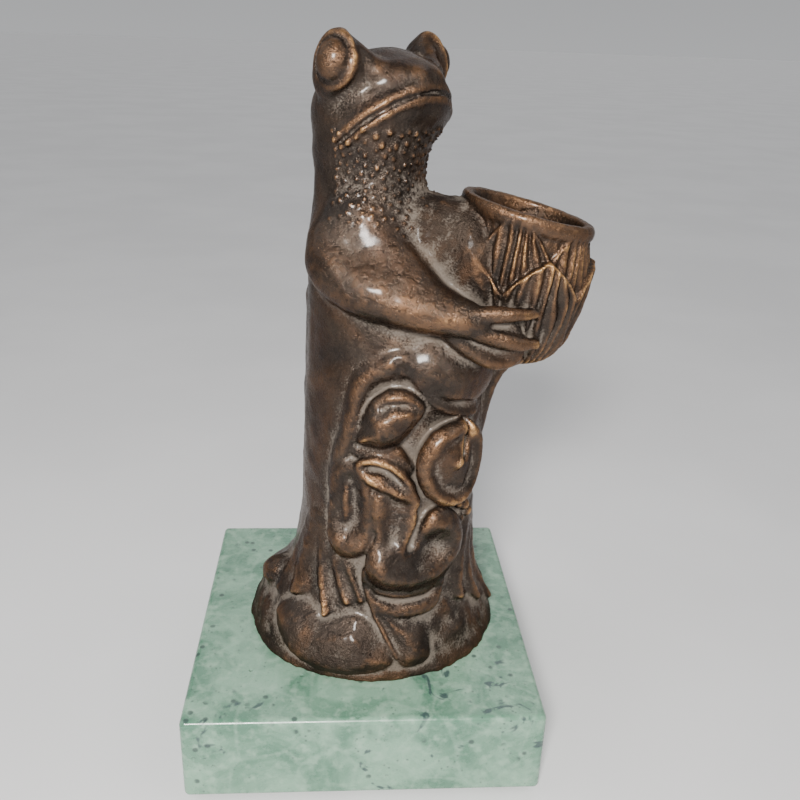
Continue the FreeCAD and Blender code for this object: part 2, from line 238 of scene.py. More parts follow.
def rope(clay, stations, soft, carve=False, join=0.0):
    """A smooth tapering limb through (point, radius) stations, added to the clay or carved from it."""
    line = curve([(*point, radius) for point, radius in stations])
    parts = [bar(p[:3], q[:3], p[3], q[3]) for p, q in zip(line, line[1:])]
    low = np.min([part[0] for part in parts], axis=0)
    high = np.max([part[1] for part in parts], axis=0)

    def distance(x, y, z):
        total = parts[0][2](x, y, z)
        for part in parts[1:]:
            total = smooth_min(total, part[2](x, y, z), join)
        return total

    (clay.carve if carve else clay.add)((low, high, distance), soft)


def section(table, height):
    """A pillar's centre x, centre y, half width in x and half width in y at a height."""
    return [flow(table, k, height) for k in (1, 2, 3, 4)]


def column(table, low=None, high=None):
    """A pillar of level ellipses, from rows of a height and its section."""
    low = table[0][0] if low is None else low
    high = table[-1][0] if high is None else high
    rows = np.array(table)
    corner_low = (rows[:, 1] - rows[:, 3]).min(), (rows[:, 2] - rows[:, 4]).min(), GROUND + low
    corner_high = (rows[:, 1] + rows[:, 3]).max(), (rows[:, 2] + rows[:, 4]).max(), GROUND + high

    def distance(x, y, z):
        h = z - GROUND
        cx, cy, rx, ry = section(table, h)
        round_part = (norm((x - cx) / rx, (y - cy) / ry) - 1) * 0.5 * (rx + ry)
        return smooth_max(round_part, np.maximum(low - h, h - high), 1.0)

    return corner_low, corner_high, distance


def at(x, y, height):
    return (x, y, GROUND + height)


def outward(heading):
    a = math.radians(heading)
    return np.array([math.cos(a), -math.sin(a), 0.0])


def on_side(table, heading, height, proud):
    """The point of a pillar's side at a heading and height, standing proud of it."""
    cx, cy, rx, ry = (float(v) for v in section(table, np.float32(height)))
    way = outward(heading)
    return np.array([cx + way[0] * (rx + proud), cy + way[1] * (ry + proud), GROUND + height])


def on_trunk(heading, height, proud):
    return on_side(TRUNK, heading, height, proud)


def frame_of(heading):
    """Rows: along the surface to the viewer's right, up along it, and out from it."""
    out = outward(heading)
    right = np.cross([0, 0, 1.0], out)
    return np.array([right, np.cross(out, right), out])


def shrunk(table, by):
    """The rows of a pillar whose half widths are less by this much."""
    return [(h, cx, cy, rx - by, ry - by) for h, cx, cy, rx, ry in table]


# ------------ frog

# Sections of the trunk, up to the back of the head, and of the web between chest and cup: height, centre x,
# centre y, half width in x, half width in y
TRUNK = [
    (-0.5, 4.4, -0.8, 21.8, 20.6),
    (11, 4.4, -1, 21, 20),
    (20, 4.5, -1.3, 20, 19.2),
    (29, 5.2, -1.5, 19.2, 18.6),
    (40, 5.6, -1.5, 19.2, 18.5),
    (52, 6, -1.5, 19.3, 18.5),
    (64, 6.1, -1.5, 18.9, 18.2),
    (75, 5.2, -1.5, 17.6, 17.2),
    (85, 3.4, -1.5, 15.9, 15.7),
    (92, 1.8, -1.5, 13.9, 13.8),
    (98, 0.5, -1.4, 12.1, 12),
    (105, -0.2, -1.2, 10.9, 10.7),
    (110, 0, -1.4, 11.2, 11.1),
    (115, -0.2, -1.6, 11.3, 11.1),
    (119.5, -0.4, -1.6, 10.2, 10.2),
    (123.5, -0.2, -1.6, 7.6, 7.6),
]
WEB = [
    (62, 14.6, -4.5, 8, 8),
    (76, 16.4, -5.4, 9, 9.4),
    (88, 16.2, -6.4, 8.6, 8.8),
    (96, 15, -6, 7.2, 7.2),
    (100.6, 14.2, -5.2, 6, 5.6),
]
HEAD_CENTRE = np.array([2.4, -1.6, GROUND + 117.6])
HEAD_HEADING, HEAD_PITCH = 45.0, 30.0
# In the head's own directions: the eye's place, and the jaw with the lips, which reach further forward
EYE = (3.9, 13.5, 6.6)
JAW_CENTRE_F, JAW_LONG, JAW_WIDE, JAW_LEVEL = -2.8, 14.2, 13.2, -4.0
LIP_FORWARD = 0.55
# How far forward the mouth's line leaves the level of the snout, and over what length it does
MOUTH_TURN, MOUTH_RUN = 14.5, 15.5


def head_axes():
    """The head's own forward, left and up directions, as rows."""
    level = outward(HEAD_HEADING)
    pitch = math.radians(HEAD_PITCH)
    forward = level * math.cos(pitch) + np.array([0, 0, math.sin(pitch)])
    left = np.cross([0, 0, 1], level)
    return np.array([forward, left, np.cross(forward, left)])


HEAD_AXES = head_axes()


def in_head(forward, left, up):
    return HEAD_CENTRE + np.array([forward, left, up]) @ HEAD_AXES


def head_egg(centre, radii):
    return egg(in_head(*centre), radii, HEAD_AXES)


def lip(front, corner, thick, inset):
    """A tube round the jaw, at its level at the snout and at the corners of the mouth, where it fades out."""

    def distance(x, y, z):
        dx, dy, dz = x - HEAD_CENTRE[0], y - HEAD_CENTRE[1], z - HEAD_CENTRE[2]
        p = [dx * axis[0] + dy * axis[1] + dz * axis[2] for axis in HEAD_AXES]
        f = p[0] - JAW_CENTRE_F
        radial = norm(f, p[1]) + 1e-4
        edge = radial - radial / norm(f / (JAW_LONG + LIP_FORWARD - inset), p[1] / (JAW_WIDE - inset))
        level = JAW_LEVEL + front + (corner - front) * np.clip((MOUTH_TURN - f) / MOUTH_RUN, 0, 1)
        fade = step(-3.2, 0.8, f)
        return norm(edge, p[2] - level) - thick * fade + (1 - fade)

    return HEAD_CENTRE - 18, HEAD_CENTRE + 18, distance


def eye(clay, side):
    """A raised eye: its mound, the thick lid round it, the ball and the grooves between."""
    forward, left, high = EYE
    centre = in_head(forward, side * left, high)
    axis = np.array([0.22, side * 0.95, 0.14]) @ HEAD_AXES
    axis /= np.linalg.norm(axis)
    up = np.array([0, 0, 1.0]) - axis * axis[2]
    up /= np.linalg.norm(up)
    fore = np.cross(up, axis) * side
    turn = [fore, axis, up]
    clay.add(bar(in_head(0.5, side * 5.0, 2.2), centre - axis * 1.8, 3.4, 4.5), 2.2)
    clay.add(egg(centre - axis * 1.4 + fore * 0.6, (4.4, 2.8, 4.9), turn), 0.8)
    clay.add(egg(centre - axis * 2.2 + fore * 2.2 - up * 2.2, (3.4, 2.8, 4.2), turn), 2.0)
    apex = centre + up * 4.7 - axis * 0.9
    for root in ((2.6, 6.0, 4.6), (7.0, 7.6, 3.0), (-1.5, 7.6, 4.4)):
        clay.add(bar(in_head(root[0], side * root[1], root[2]), apex, 2.2, 0.5), 1.2)
    angles = np.radians(range(-90, 271, 20))
    turns = [(math.sin(a), math.cos(a)) for a in angles]
    ring = [centre + up * s * 4.4 + fore * c * 3.9 - axis * 0.2 for s, c in turns]
    thick = [0.55 + 0.75 * max(0.0, math.sin(a + 0.5)) for a in angles]
    rope(clay, list(zip(ring, thick)), 0.7)
    groove = [centre + up * s * 3.75 + fore * (c * 3.45 - 0.15) + axis * 0.9 for s, c in turns]
    rope(clay, [(spot, 0.36) for spot in groove], 0.3, carve=True)
    clay.add(egg(centre + axis * 0.5 - fore * 0.15, (3.3, 3.1, 3.7), turn), 0.2)


def head(clay):
    """Jaw, skull and snout, the brow, nostril and eye of each side, then the lips and the mouth's slit."""
    clay.add(head_egg((JAW_CENTRE_F, 0, JAW_LEVEL), (JAW_LONG, JAW_WIDE, 6.2)), 2.5)
    clay.add(head_egg((-1.3, 0, 1.5), (11.8, 12.0, 8.6)), 3.0)
    clay.add(head_egg((5.4, 0, -0.2), (7.0, 8.0, 4.8)), 3.0)
    for side in (-1, 1):
        clay.add(bar(in_head(5.0, side * 9.6, 4.2), in_head(10.8, side * 2.6, -0.4), 1.5, 0.9), 2.4)
        clay.carve(egg(in_head(11.4, side * 2.9, 0.2), (0.8, 0.5, 0.5), HEAD_AXES), 0.5)
        eye(clay, side)
    clay.add(lip(1.35, -1.3, 0.55, 0.35), 1.5)
    clay.add(lip(-0.6, -2.9, 0.25, 0.55), 1.2)
    clay.carve(lip(0.35, -2.25, 0.40, -0.05), 0.35)


# Arms and fingers: x, y, height, radius
RIGHT_ARM = [
    (-2.6, -4.5, 97.6, 5.9),
    (-6, -7.8, 92.8, 5.9),
    (-6.3, -12, 88.2, 5.4),
    (-1, -16.4, 84.9, 4.8),
    (8.5, -19, 82, 3.9),
    (15.5, -20.2, 80.6, 2.8),
    (21, -20.6, 79.9, 2.1),
]
# The upper face of the right arm, which flows into the chest
RIGHT_ARM_TOP = [
    (-1.5, -8.4, 97.6, 5.4),
    (1.5, -11.4, 92.2, 5.2),
    (7, -14.8, 87.2, 4.2),
    (13, -17.6, 83.2, 2.6),
    (17.5, -19.4, 81.2, 1.7),
]
RIGHT_FINGERS = [
    [(15.5, -20.4, 81.4, 1.9), (21, -21.4, 81.9, 1.7), (25.6, -21.7, 82.2, 1.6), (28, -21.3, 82.1, 1.2),
     (31.2, -20, 81.8, 0.8)],
    [(16.5, -20.6, 79.6, 2), (22, -21.2, 78, 1.9), (27, -20.9, 76.4, 1.7), (31.8, -19.2, 75.6, 1)],
    [(14.5, -20, 78.4, 1.9), (19.5, -20.2, 74.6, 1.9), (24.5, -19.2, 72, 1.6), (29.6, -16.8, 71.6, 0.9)],
]
LEFT_ARM = [
    (5.6, 2.5, 97, 5.6),
    (10, 6, 92, 5.4),
    (15, 8.4, 88, 4.8),
    (22, 8.8, 84.5, 3.9),
    (28, 8, 82, 3.1),
    (31, 7.6, 81.5, 2.5),
]
LEFT_FINGERS = [
    [(29.4, 7.8, 82.2, 1.9), (34.4, 7.4, 83.4, 1.6), (39, 5.4, 83.4, 0.8)],
    [(29.4, 7.6, 80.6, 2), (34, 6.6, 79, 1.7), (38.4, 4.4, 78, 0.9)],
    [(28.6, 7, 79.4, 2), (32, 5.6, 76, 1.7), (36.4, 3.2, 74, 0.9)],
]


def limb(rows):
    """Rope stations from rows of x, y, height and radius."""
    return [(at(*spot), radius) for *spot, radius in rows]


def arms(clay):
    """Both arms with their fingers, and the palms, which lie against the cup."""
    rope(clay, limb(RIGHT_ARM), 1.2, join=1.0)
    rope(clay, limb(RIGHT_ARM_TOP), 4.5, join=1.0)
    rope(clay, limb(LEFT_ARM), 1.2, join=1.0)
    for finger in RIGHT_FINGERS + LEFT_FINGERS:
        rope(clay, limb(finger), 0.5)
    clay.add(egg(at(22.6, -19.6, 77.2), (6.6, 1.7, 5.0)), 1.0)
    clay.add(egg(at(26.4, -18.4, 73.8), (3.6, 1.6, 3.0)), 0.8)
    clay.add(egg(at(32.4, 6.2, 79.6), (5.2, 1.7, 4.2)), 1.0)


# The pale band that frames the leaves: heading, height
LEAF_FRAME = [(128, 43), (126, 50.5), (120, 56.2), (117.5, 62.1), (112, 67.2), (98, 70.2), (89, 71.4),
              (85, 69.5), (80, 66), (72, 63), (57, 60.2), (38, 58.6)]
# The ledge under the folded leaf, the groove above the leaves and the crease under the belly
LEDGE = [(114, 51.6), (102, 52.4), (92, 52), (84, 48.8)]
GROOVE = [(87, 67.2), (79, 63.2), (70, 60.2), (56, 57.2), (40, 56.2), (26, 58)]
BELLY_CREASE = [(93, 73), (86, 70.6), (81, 67.2), (73, 64.2), (57, 61.6), (38, 60), (20, 60.4)]
# Small knobs beside the notched leaf: heading, height, radius
NUBS = [(36, 36.5, 1.6), (40, 33.6, 1.3), (33, 39.6, 1.2), (42, 37.2, 1.1), (30, 34, 1.4)]
BACK_HEADING, LEG_HEADINGS, FOLD_HEADINGS = 232, (205, 259), (208, 256)
# The hollow of the back and the groove of the spine above it: height, how proud its middle is, radius
BACK = [(25, 5.0, 5.4), (34, 4.0, 5.8), (46, 3.8, 5.6), (62, 3.6, 4.8)]
SPINE = [(62, 3.4, 4.3), (80, 2.4, 3.2), (98, 1.6, 2.2)]
# The web between the chest and the cup, which is left rough
WEB_EGGS = [
    egg(at(15.5, -8.6, 89.5), (9.0, 6.4, 10.2)),
    egg(at(12.0, -6.5, 95.0), (8.0, 6.0, 6.0)),
    egg(at(19.5, -13.5, 88.0), (3.7, 4.0, 9.5)),
    egg(at(18.6, -10.2, 94.6), (3.8, 5.0, 5.0)),
]


def along(places, proud, radius):
    """Rope stations at places of the trunk's side."""
    return [(on_trunk(*place, proud), radius) for place in places]


def trunk(clay):
    """The trunk with its belly, the hollows that the leaves lie in, and the modelling of back and front."""
    clay.add(column(TRUNK))
    clay.add(column(WEB), 2.5)
    for web in WEB_EGGS:
        clay.add(web, 2.5)
    clay.add(egg(at(12.6, -7.2, 68.0), (13.6, 14.4, 12.6), frame_of(35)[[2, 0, 1]]), 1.2)
    clay.carve(egg(on_trunk(94, 46, 1.6), (17.0, 25.0, 4.2), frame_of(94)), 1.5)
    clay.carve(egg(on_trunk(60, 47, 1.6), (14.0, 16.0, 3.6), frame_of(60)), 1.5)
    rope(clay, [(on_trunk(BACK_HEADING, h, p), r) for h, p, r in BACK], 4.0, carve=True)
    for heading in LEG_HEADINGS:
        rope(clay, along([(heading, h) for h in (6, 30, 58, 78)], -2.6, 4.2), 4.0)
    rope(clay, [(on_trunk(BACK_HEADING, h, p), r) for h, p, r in SPINE], 3.0, carve=True)
    for heading in FOLD_HEADINGS:
        rope(clay, along([(heading, h) for h in (106, 96, 84, 70, 54)], -0.3, 0.9), 2.0)
    rope(clay, along(LEAF_FRAME, -0.4, 1.9), 1.8)
    rope(clay, along(LEDGE, -0.9, 1.6), 1.4)
    rope(clay, along(GROOVE, 1.7, 1.8), 1.2, carve=True)
    rope(clay, along(BELLY_CREASE, 2.9, 1.5), 0.7, carve=True)
    for heading, height, size in NUBS:
        clay.add(egg(on_trunk(heading, height, 0.1), (size, size, size)), 0.8)


WART_TRIES, WART_GAP, THROAT_RADIUS = 3600, 0.85, 11
WART_HEADINGS, WART_HEIGHTS = (-30, 128), (95, 114)
CHIN_HEADINGS, CHIN_HEIGHT = (40, 96), 110.5
# How far out from the trunk's axis the surface is looked for, and the furthest place that takes a wart
WART_SEARCH, WART_LIMIT = np.arange(6.0, 18.0, 0.1), 14.0


def warts(clay):
    """Raised dots on the throat and the upper chest, largest under the chin."""
    placed = []
    for _ in range(WART_TRIES):
        heading, height = RNG.uniform(*WART_HEADINGS), RNG.uniform(*WART_HEIGHTS)
        chin = height > CHIN_HEIGHT and CHIN_HEADINGS[0] < heading < CHIN_HEADINGS[1]
        size = RNG.uniform(0.34, 0.5) + chin * RNG.uniform(0.05, 0.3)
        spot = np.array([math.radians(heading) * THROAT_RADIUS, height])
        if all(np.hypot(*(spot - other)) > WART_GAP + far for other, far in placed):
            placed.append((spot, size))
            cx, cy = (float(v) for v in section(TRUNK, np.float32(height))[:2])
            start, way, reach = np.array([cx, cy, GROUND + height]), outward(heading), WART_SEARCH
            d = clay.sample(start + reach[:, None] * way)
            first = int(np.argmax(d > 0))
            if d[first] > 0 and reach[first] < WART_LIMIT:
                radii = size, size * RNG.uniform(0.9, 1.4), 0.45
                clay.add(egg(start + way * (reach[first] + 0.02), radii, frame_of(heading)), 0.22)


def value_noise(clay, spacing, seed):
    """Smooth random values from -1 to 1, one lattice point every spacing millimetres."""
    rng = np.random.default_rng(seed)
    spots = [(axis - axis[0]) / spacing for axis in clay.axes]
    values = rng.uniform(-1, 1, [int(s[-1]) + 2 for s in spots]).astype(np.float32)
    for k, spot in enumerate(spots):
        base = spot.astype(int)
        t = spot - base
        t = (t * t * (3 - 2 * t)).reshape([-1 if k == j else 1 for j in range(3)])
        values = np.take(values, base, k) * (1 - t) + np.take(values, base + 1, k) * t
    return values


def worn_marks(clay, *marks, mask=1.0):
    """Uneven modelling all over a surface, as from a thumb or a tool; marks are depth, spacing and seed."""
    for depth, spacing, seed in marks:
        clay.d += depth * mask * value_noise(clay, spacing, seed)


def web_mask(points, arm_distance):
    """1 where the frog's front is left rough, away from the arms, fading to 0."""
    near = column(shrunk(WEB, -1.5), 78, 104)[2](*points)
    for _, _, distance in WEB_EGGS:
        near = np.minimum(near, distance(*points))
    return step(2.2, -0.4, near) * step(0.2, 1.8, arm_distance)


def frog_clay():
    """The whole body; the arms are modelled apart, so that the web can be left rough beside them."""
    low, high = (-20, -25, GROUND - 1.5), (43, 21, GROUND + 132.5)
    clay, both_arms = Clay(low, high, FROG_VOXEL), Clay(low, high, FROG_VOXEL)
    trunk(clay)
    arms(both_arms)
    clay.d = smooth_min(clay.d, both_arms.d, 1.6)
    head(clay)
    clay.rough = web_mask(clay.grid(), both_arms.d).astype(np.float32)
    worn_marks(clay, (0.20, 4.2, 1), (0.08, 1.7, 2))
    worn_marks(clay, (0.15, 1.2, 3), (0.14, 2.6, 4), mask=clay.rough)
    warts(clay)
    clay.carve(cup_form(CUP_OUTSIDE, -0.6), 0.3)
    clay.carve(column(shrunk(TRUNK, 3), -4, 20), 0.5)
    floor_cut(clay)
    return clay


def floor_cut(clay, gap=0.02):
    """Levels the underside, a hair above the plinth."""
    clay.d = np.maximum(clay.d, GROUND + gap - clay.axes[2][None, None, :])


# ------------ cup

CUP_Y = -7.0
RIM_TILT = 13.8
BOWL_RADIUS = 12.3
# How steep the bowl's side distance is taken, so that it stays below the true one
BOWL_SLOPE = 0.92
FINE_FLUTES, PETAL_FLUTES = 44, 4.2
# Height above the plinth, centre x, radius, share of the rim's tilt
CUP_OUTSIDE = [
    (68.2, 29.6, 2, 0),
    (69.4, 29.7, 5.9, 0),
    (72.4, 29.9, 8.9, 0.1),
    (77.5, 30.1, 10.8, 0.2),
    (83, 30.3, 12, 0.4),
    (89, 30.5, 12.5, 0.6),
    (93.5, 30.7, 12.3, 0.9),
    (97.6, 30.8, 12.1, 1),
]
CUP_COLLAR = [
    (95.9, 30.8, 11.6, 1),
    (96.6, 30.8, 12.4, 1),
    (97.8, 30.9, 13.1, 1),
    (98.9, 30.9, 13.2, 1),
    (99.8, 30.9, 12.8, 1),
]
CUP_INSIDE = [
    (74.4, 30.2, 2, 0),
    (75.6, 30.3, 5.4, 0.1),
    (79, 30.4, 8.4, 0.3),
    (84, 30.6, 10.3, 0.5),
    (91, 30.8, 10.9, 0.8),
    (96, 30.9, 10.8, 1),
    (101, 30.9, 11, 1),
]
# Petal rows: count, heading of the first, height of foot and of tip, half width, thickness, curl of the tip,
# depth of ribs
PETAL_ROWS = [
    (6, 48, 74, 100.5, 8.6, 0.45, 0.1, 0.30),
    (5, 8, 66, 92.8, 10.4, 1.2, 0.5, 0.34),
]


def cup_space(x, y, z, table):
    """Height measured along the leaning cup, and level distances from its axis."""
    high = z - GROUND
    share = flow(table, 3, high)
    high = high + math.tan(math.radians(RIM_TILT)) * share * (x - flow(table, 1, high))
    return high, x - flow(table, 1, high), y - CUP_Y


def cup_form(table, swell=0.0, petals=None):
    """A round form that leans over gradually, grown outwards by swell and by its petals."""
    rows = np.array(table)
    wide = rows[:, 2].max() + swell + 2.5
    low = (rows[:, 1].min() - wide, CUP_Y - wide, GROUND + rows[0, 0] - 4)
    high = (rows[:, 1].max() + wide, CUP_Y + wide, GROUND + rows[-1, 0] + 4)

    def distance(x, y, z):
        level, dx, dy = cup_space(x, y, z, table)
        side = norm(dx, dy) - flow(table, 2, level) - swell
        if petals:
            side = side - petals(level, dx, dy)
        return smooth_max(side * BOWL_SLOPE, np.maximum(rows[0, 0] - swell - level, level - rows[-1, 0]), 0.4)

    return low, high, distance


def petal(arc, q, half_wide, thick, curl, ribs):
    """How far a petal stands proud, at a distance arc round the cup from its middle, at q of its length."""
    wide = half_wide * np.where(q < 0.45, 0.5 + 0.5 * np.sin(np.pi / 2 * np.clip(q / 0.45, 0, 1)),
                                1 - np.clip((q - 0.45) / 0.55, 0, 1) ** 1.7)
    edge = wide - np.abs(arc)
    body = step(-0.25, 0.35, edge) * step(-0.03, 0.05, q) * step(1.03, 0.96, q)
    wavy = arc + 0.35 * np.sin(9 * q + 0.9 * arc)
    lines = np.cos(2 * np.pi * PETAL_FLUTES * wavy / (0.5 * wide + 0.5 * half_wide)) * step(0.3, 1.1, edge)
    rim = np.exp(-((edge - 0.5) / 0.4) ** 2)
    return body * (thick * (0.6 + 0.4 * step(0, 0.8, q)) + ribs * lines + 0.26 * rim + curl * step(0.7, 1, q))


def all_petals(level, dx, dy):
    """How far the petals of every row stand proud of the bowl."""
    about = np.arctan2(-dy, dx)
    total = 0.12 * np.cos(about * FINE_FLUTES) * step(82, 88, level)
    for count, first, foot, tip, half_wide, *form in PETAL_ROWS:
        half = math.pi / count
        turn_by = (about - math.radians(first) + half) % (2 * half) - half
        proud = petal(turn_by * BOWL_RADIUS, (level - foot) / (tip - foot), half_wide, *form)
        total = np.maximum(total, proud)
    return total


def cup_clay():
    """The bowl, its collar and the two lobes that join it to the web, hollowed from above."""
    clay = Clay((14, -23.5, GROUND + 64), (47, 9.5, GROUND + 106), CUP_VOXEL, gilding=0.11)
    clay.add(cup_form(CUP_OUTSIDE, petals=all_petals))
    clay.add(cup_form(CUP_COLLAR), 0.5)
    clay.add(egg(at(19.6, -10.6, 95.4), (2.6, 3.2, 5.4)), 1.6)
    clay.add(egg(at(18.6, -6.0, 95.8), (2.6, 4.4, 5.0)), 1.6)
    worn_marks(clay, (0.08, 2.2, 21), (0.05, 0.9, 22))
    clay.carve(cup_form(CUP_INSIDE), 0.9)
    return clay


# x, y, height, radius
STALK = [
    (29.6, -7, 68.8, 1.8),
    (27.4, -6, 64.8, 1.5),
    (25.6, -4.6, 59, 1.6),
    (24.4, -3, 52, 1.9),
    (22.6, -2, 44, 2.2),
]


def stalk_clay():
    """The bud's stalk, from the bowl down to the trunk."""
    clay = Clay((18, -12, GROUND + 40), (35, 2, GROUND + 73), PAD_VOXEL)
    rope(clay, limb(STALK), 0.0)
    worn_marks(clay, (0.12, 1.3, 31))
    return clay


# ------------ leaves, feet and ground

# Sections of the flared ground
FLARE = [
    (-0.5, 2.4, 0.2, 29, 27),
    (1, 2.4, 0.2, 29, 27),
    (2.5, 2.4, 0.2, 28.4, 26.4),
    (5, 2.3, 0.2, 27.4, 25.6),
    (10, 2.6, 0, 24.8, 23.2),
    (15, 3.4, -0.6, 22.2, 21),
    (20, 4.2, -1.1, 20.6, 19.6),
    (29, 5.2, -1.5, 19.3, 18.7),
    (40, 5.6, -1.5, 19.3, 18.5),
    (52, 6, -1.5, 19.3, 18.5),
]


def ridge_height(u, v, stations):
    """The height of a ridge through (u, v, height, half width) stations; a groove's height is negative."""
    total = 0 * u
    for (ua, va, ha, wa), (ub, vb, hb, wb) in zip(stations, stations[1:]):
        du, dv = ub - ua, vb - va
        t = np.clip(((u - ua) * du + (v - va) * dv) / (du * du + dv * dv), 0, 1)
        away = norm(u - ua - t * du, v - va - t * dv)
        part = (ha + t * (hb - ha)) * np.exp(-(away / (wa + t * (wb - wa))) ** 2)
        total = np.where(np.abs(part) > np.abs(total), part, total)
    return total


def outline_distance(u, v, corners):
    """The signed distance to a closed outline, negative inside."""
    near = np.full(u.shape, 99.0, np.float32)
    inside = np.zeros(u.shape, bool)
    for (ua, va), (ub, vb) in zip(corners, np.roll(corners, -1, axis=0)):
        du, dv = ub - ua, vb - va
        t = np.clip(((u - ua) * du + (v - va) * dv) / (du * du + dv * dv + 1e-9), 0, 1)
        near = np.minimum(near, norm(u - ua - t * du, v - va - t * dv))
        inside ^= ((va > v) != (vb > v)) & (u < ua + (v - va) * du / (dv if abs(dv) > 1e-9 else 1e-9))
    return np.where(inside, -near, near)


class Relief:
    """A leaf or a foot laid on a pillar's side. Places on it are given as (heading, height).

    out is the distance from that side, u and v run along it, edge is the distance from the outline, and top
    is how proud the leaf's face stands.
    """

    def __init__(self, outline, table, proud, margin=7.0):
        self.table = table
        self.middle = np.mean([p[0] for p in outline])
        spots = np.array([on_side(table, *p, proud) for p in outline])
        self.clay = Clay(spots.min(0) - margin, spots.max(0) + margin, PAD_VOXEL)
        x, y, z = self.clay.grid()
        level = z - GROUND
        cx, cy, rx, ry = section(table, level)
        size = 0.5 * (rx + ry)
        heading = np.degrees(np.arctan2(-(y - cy), x - cx))
        self.out = (norm((x - cx) / rx, (y - cy) / ry) - 1) * size
        self.u = -np.radians((heading - self.middle + 180) % 360 - 180) * size
        self.v = level + 0 * self.u
        ring = closed_curve([self.flat(*p) for p in outline])
        self.edge = outline_distance(self.u, self.v, ring)
        self.top = proud + 0 * self.u

    def flat(self, heading, height):
        rx, ry = (float(v) for v in section(self.table, np.float32(height))[2:])
        return -math.radians(heading - self.middle) * 0.5 * (rx + ry), height

    def dome(self, high, reach):
        """Raises the middle by high, over a slope reach wide round the edge."""
        self.top = self.top + high * (1 - np.exp(-(np.maximum(-self.edge, 0) / reach) ** 2))

    def rim(self, high, inset, wide):
        """A rolled rim, inset from the edge."""
        self.top = self.top + high * np.exp(-((-self.edge - inset) / wide) ** 2)

    def bump(self, heading, height, high, wide, tall):
        """A round bump, or a hollow where high is negative."""
        bu, bv = self.flat(heading, height)
        self.top = self.top + high * np.exp(-((self.u - bu) / wide) ** 2 - ((self.v - bv) / tall) ** 2)

    def ridge(self, high, wide, ends, *spots, start=None):
        """A ridge, or a groove where high is negative; ends is the share of it left at its ends."""
        line = curve([self.flat(*p) for p in spots], 4)
        part = np.linspace(0, 1, len(line))
        first = ends if start is None else start
        fall = first + (ends - first) * part + (1 - ends) * np.sin(math.pi * part) ** 0.6
        self.top = self.top + ridge_height(self.u, self.v, [(*p, high * f, wide) for p, f in zip(line, fall)])

    def toe(self, high, wide, ends, *spots):
        """A ridge that rises out of the surface."""
        self.ridge(high, wide, ends, *spots, start=0.0)

    def finish(self, soft, under, seed, deep=2.0):
        """Closes the form: a rounded edge, drawn in below, that goes deep under the pillar's surface."""
        below = np.clip(self.top - self.out, 0, 4)
        side = self.edge + under * np.maximum(below - 1.0, 0)
        body = smooth_max(side, (self.out - self.top) * 0.9, soft)
        self.clay.d = np.maximum(body, -deep - self.out).astype(np.float32)
        worn_marks(self.clay, (0.13, 2.1, seed), (0.06, 0.9, seed + 1))
        return self.clay


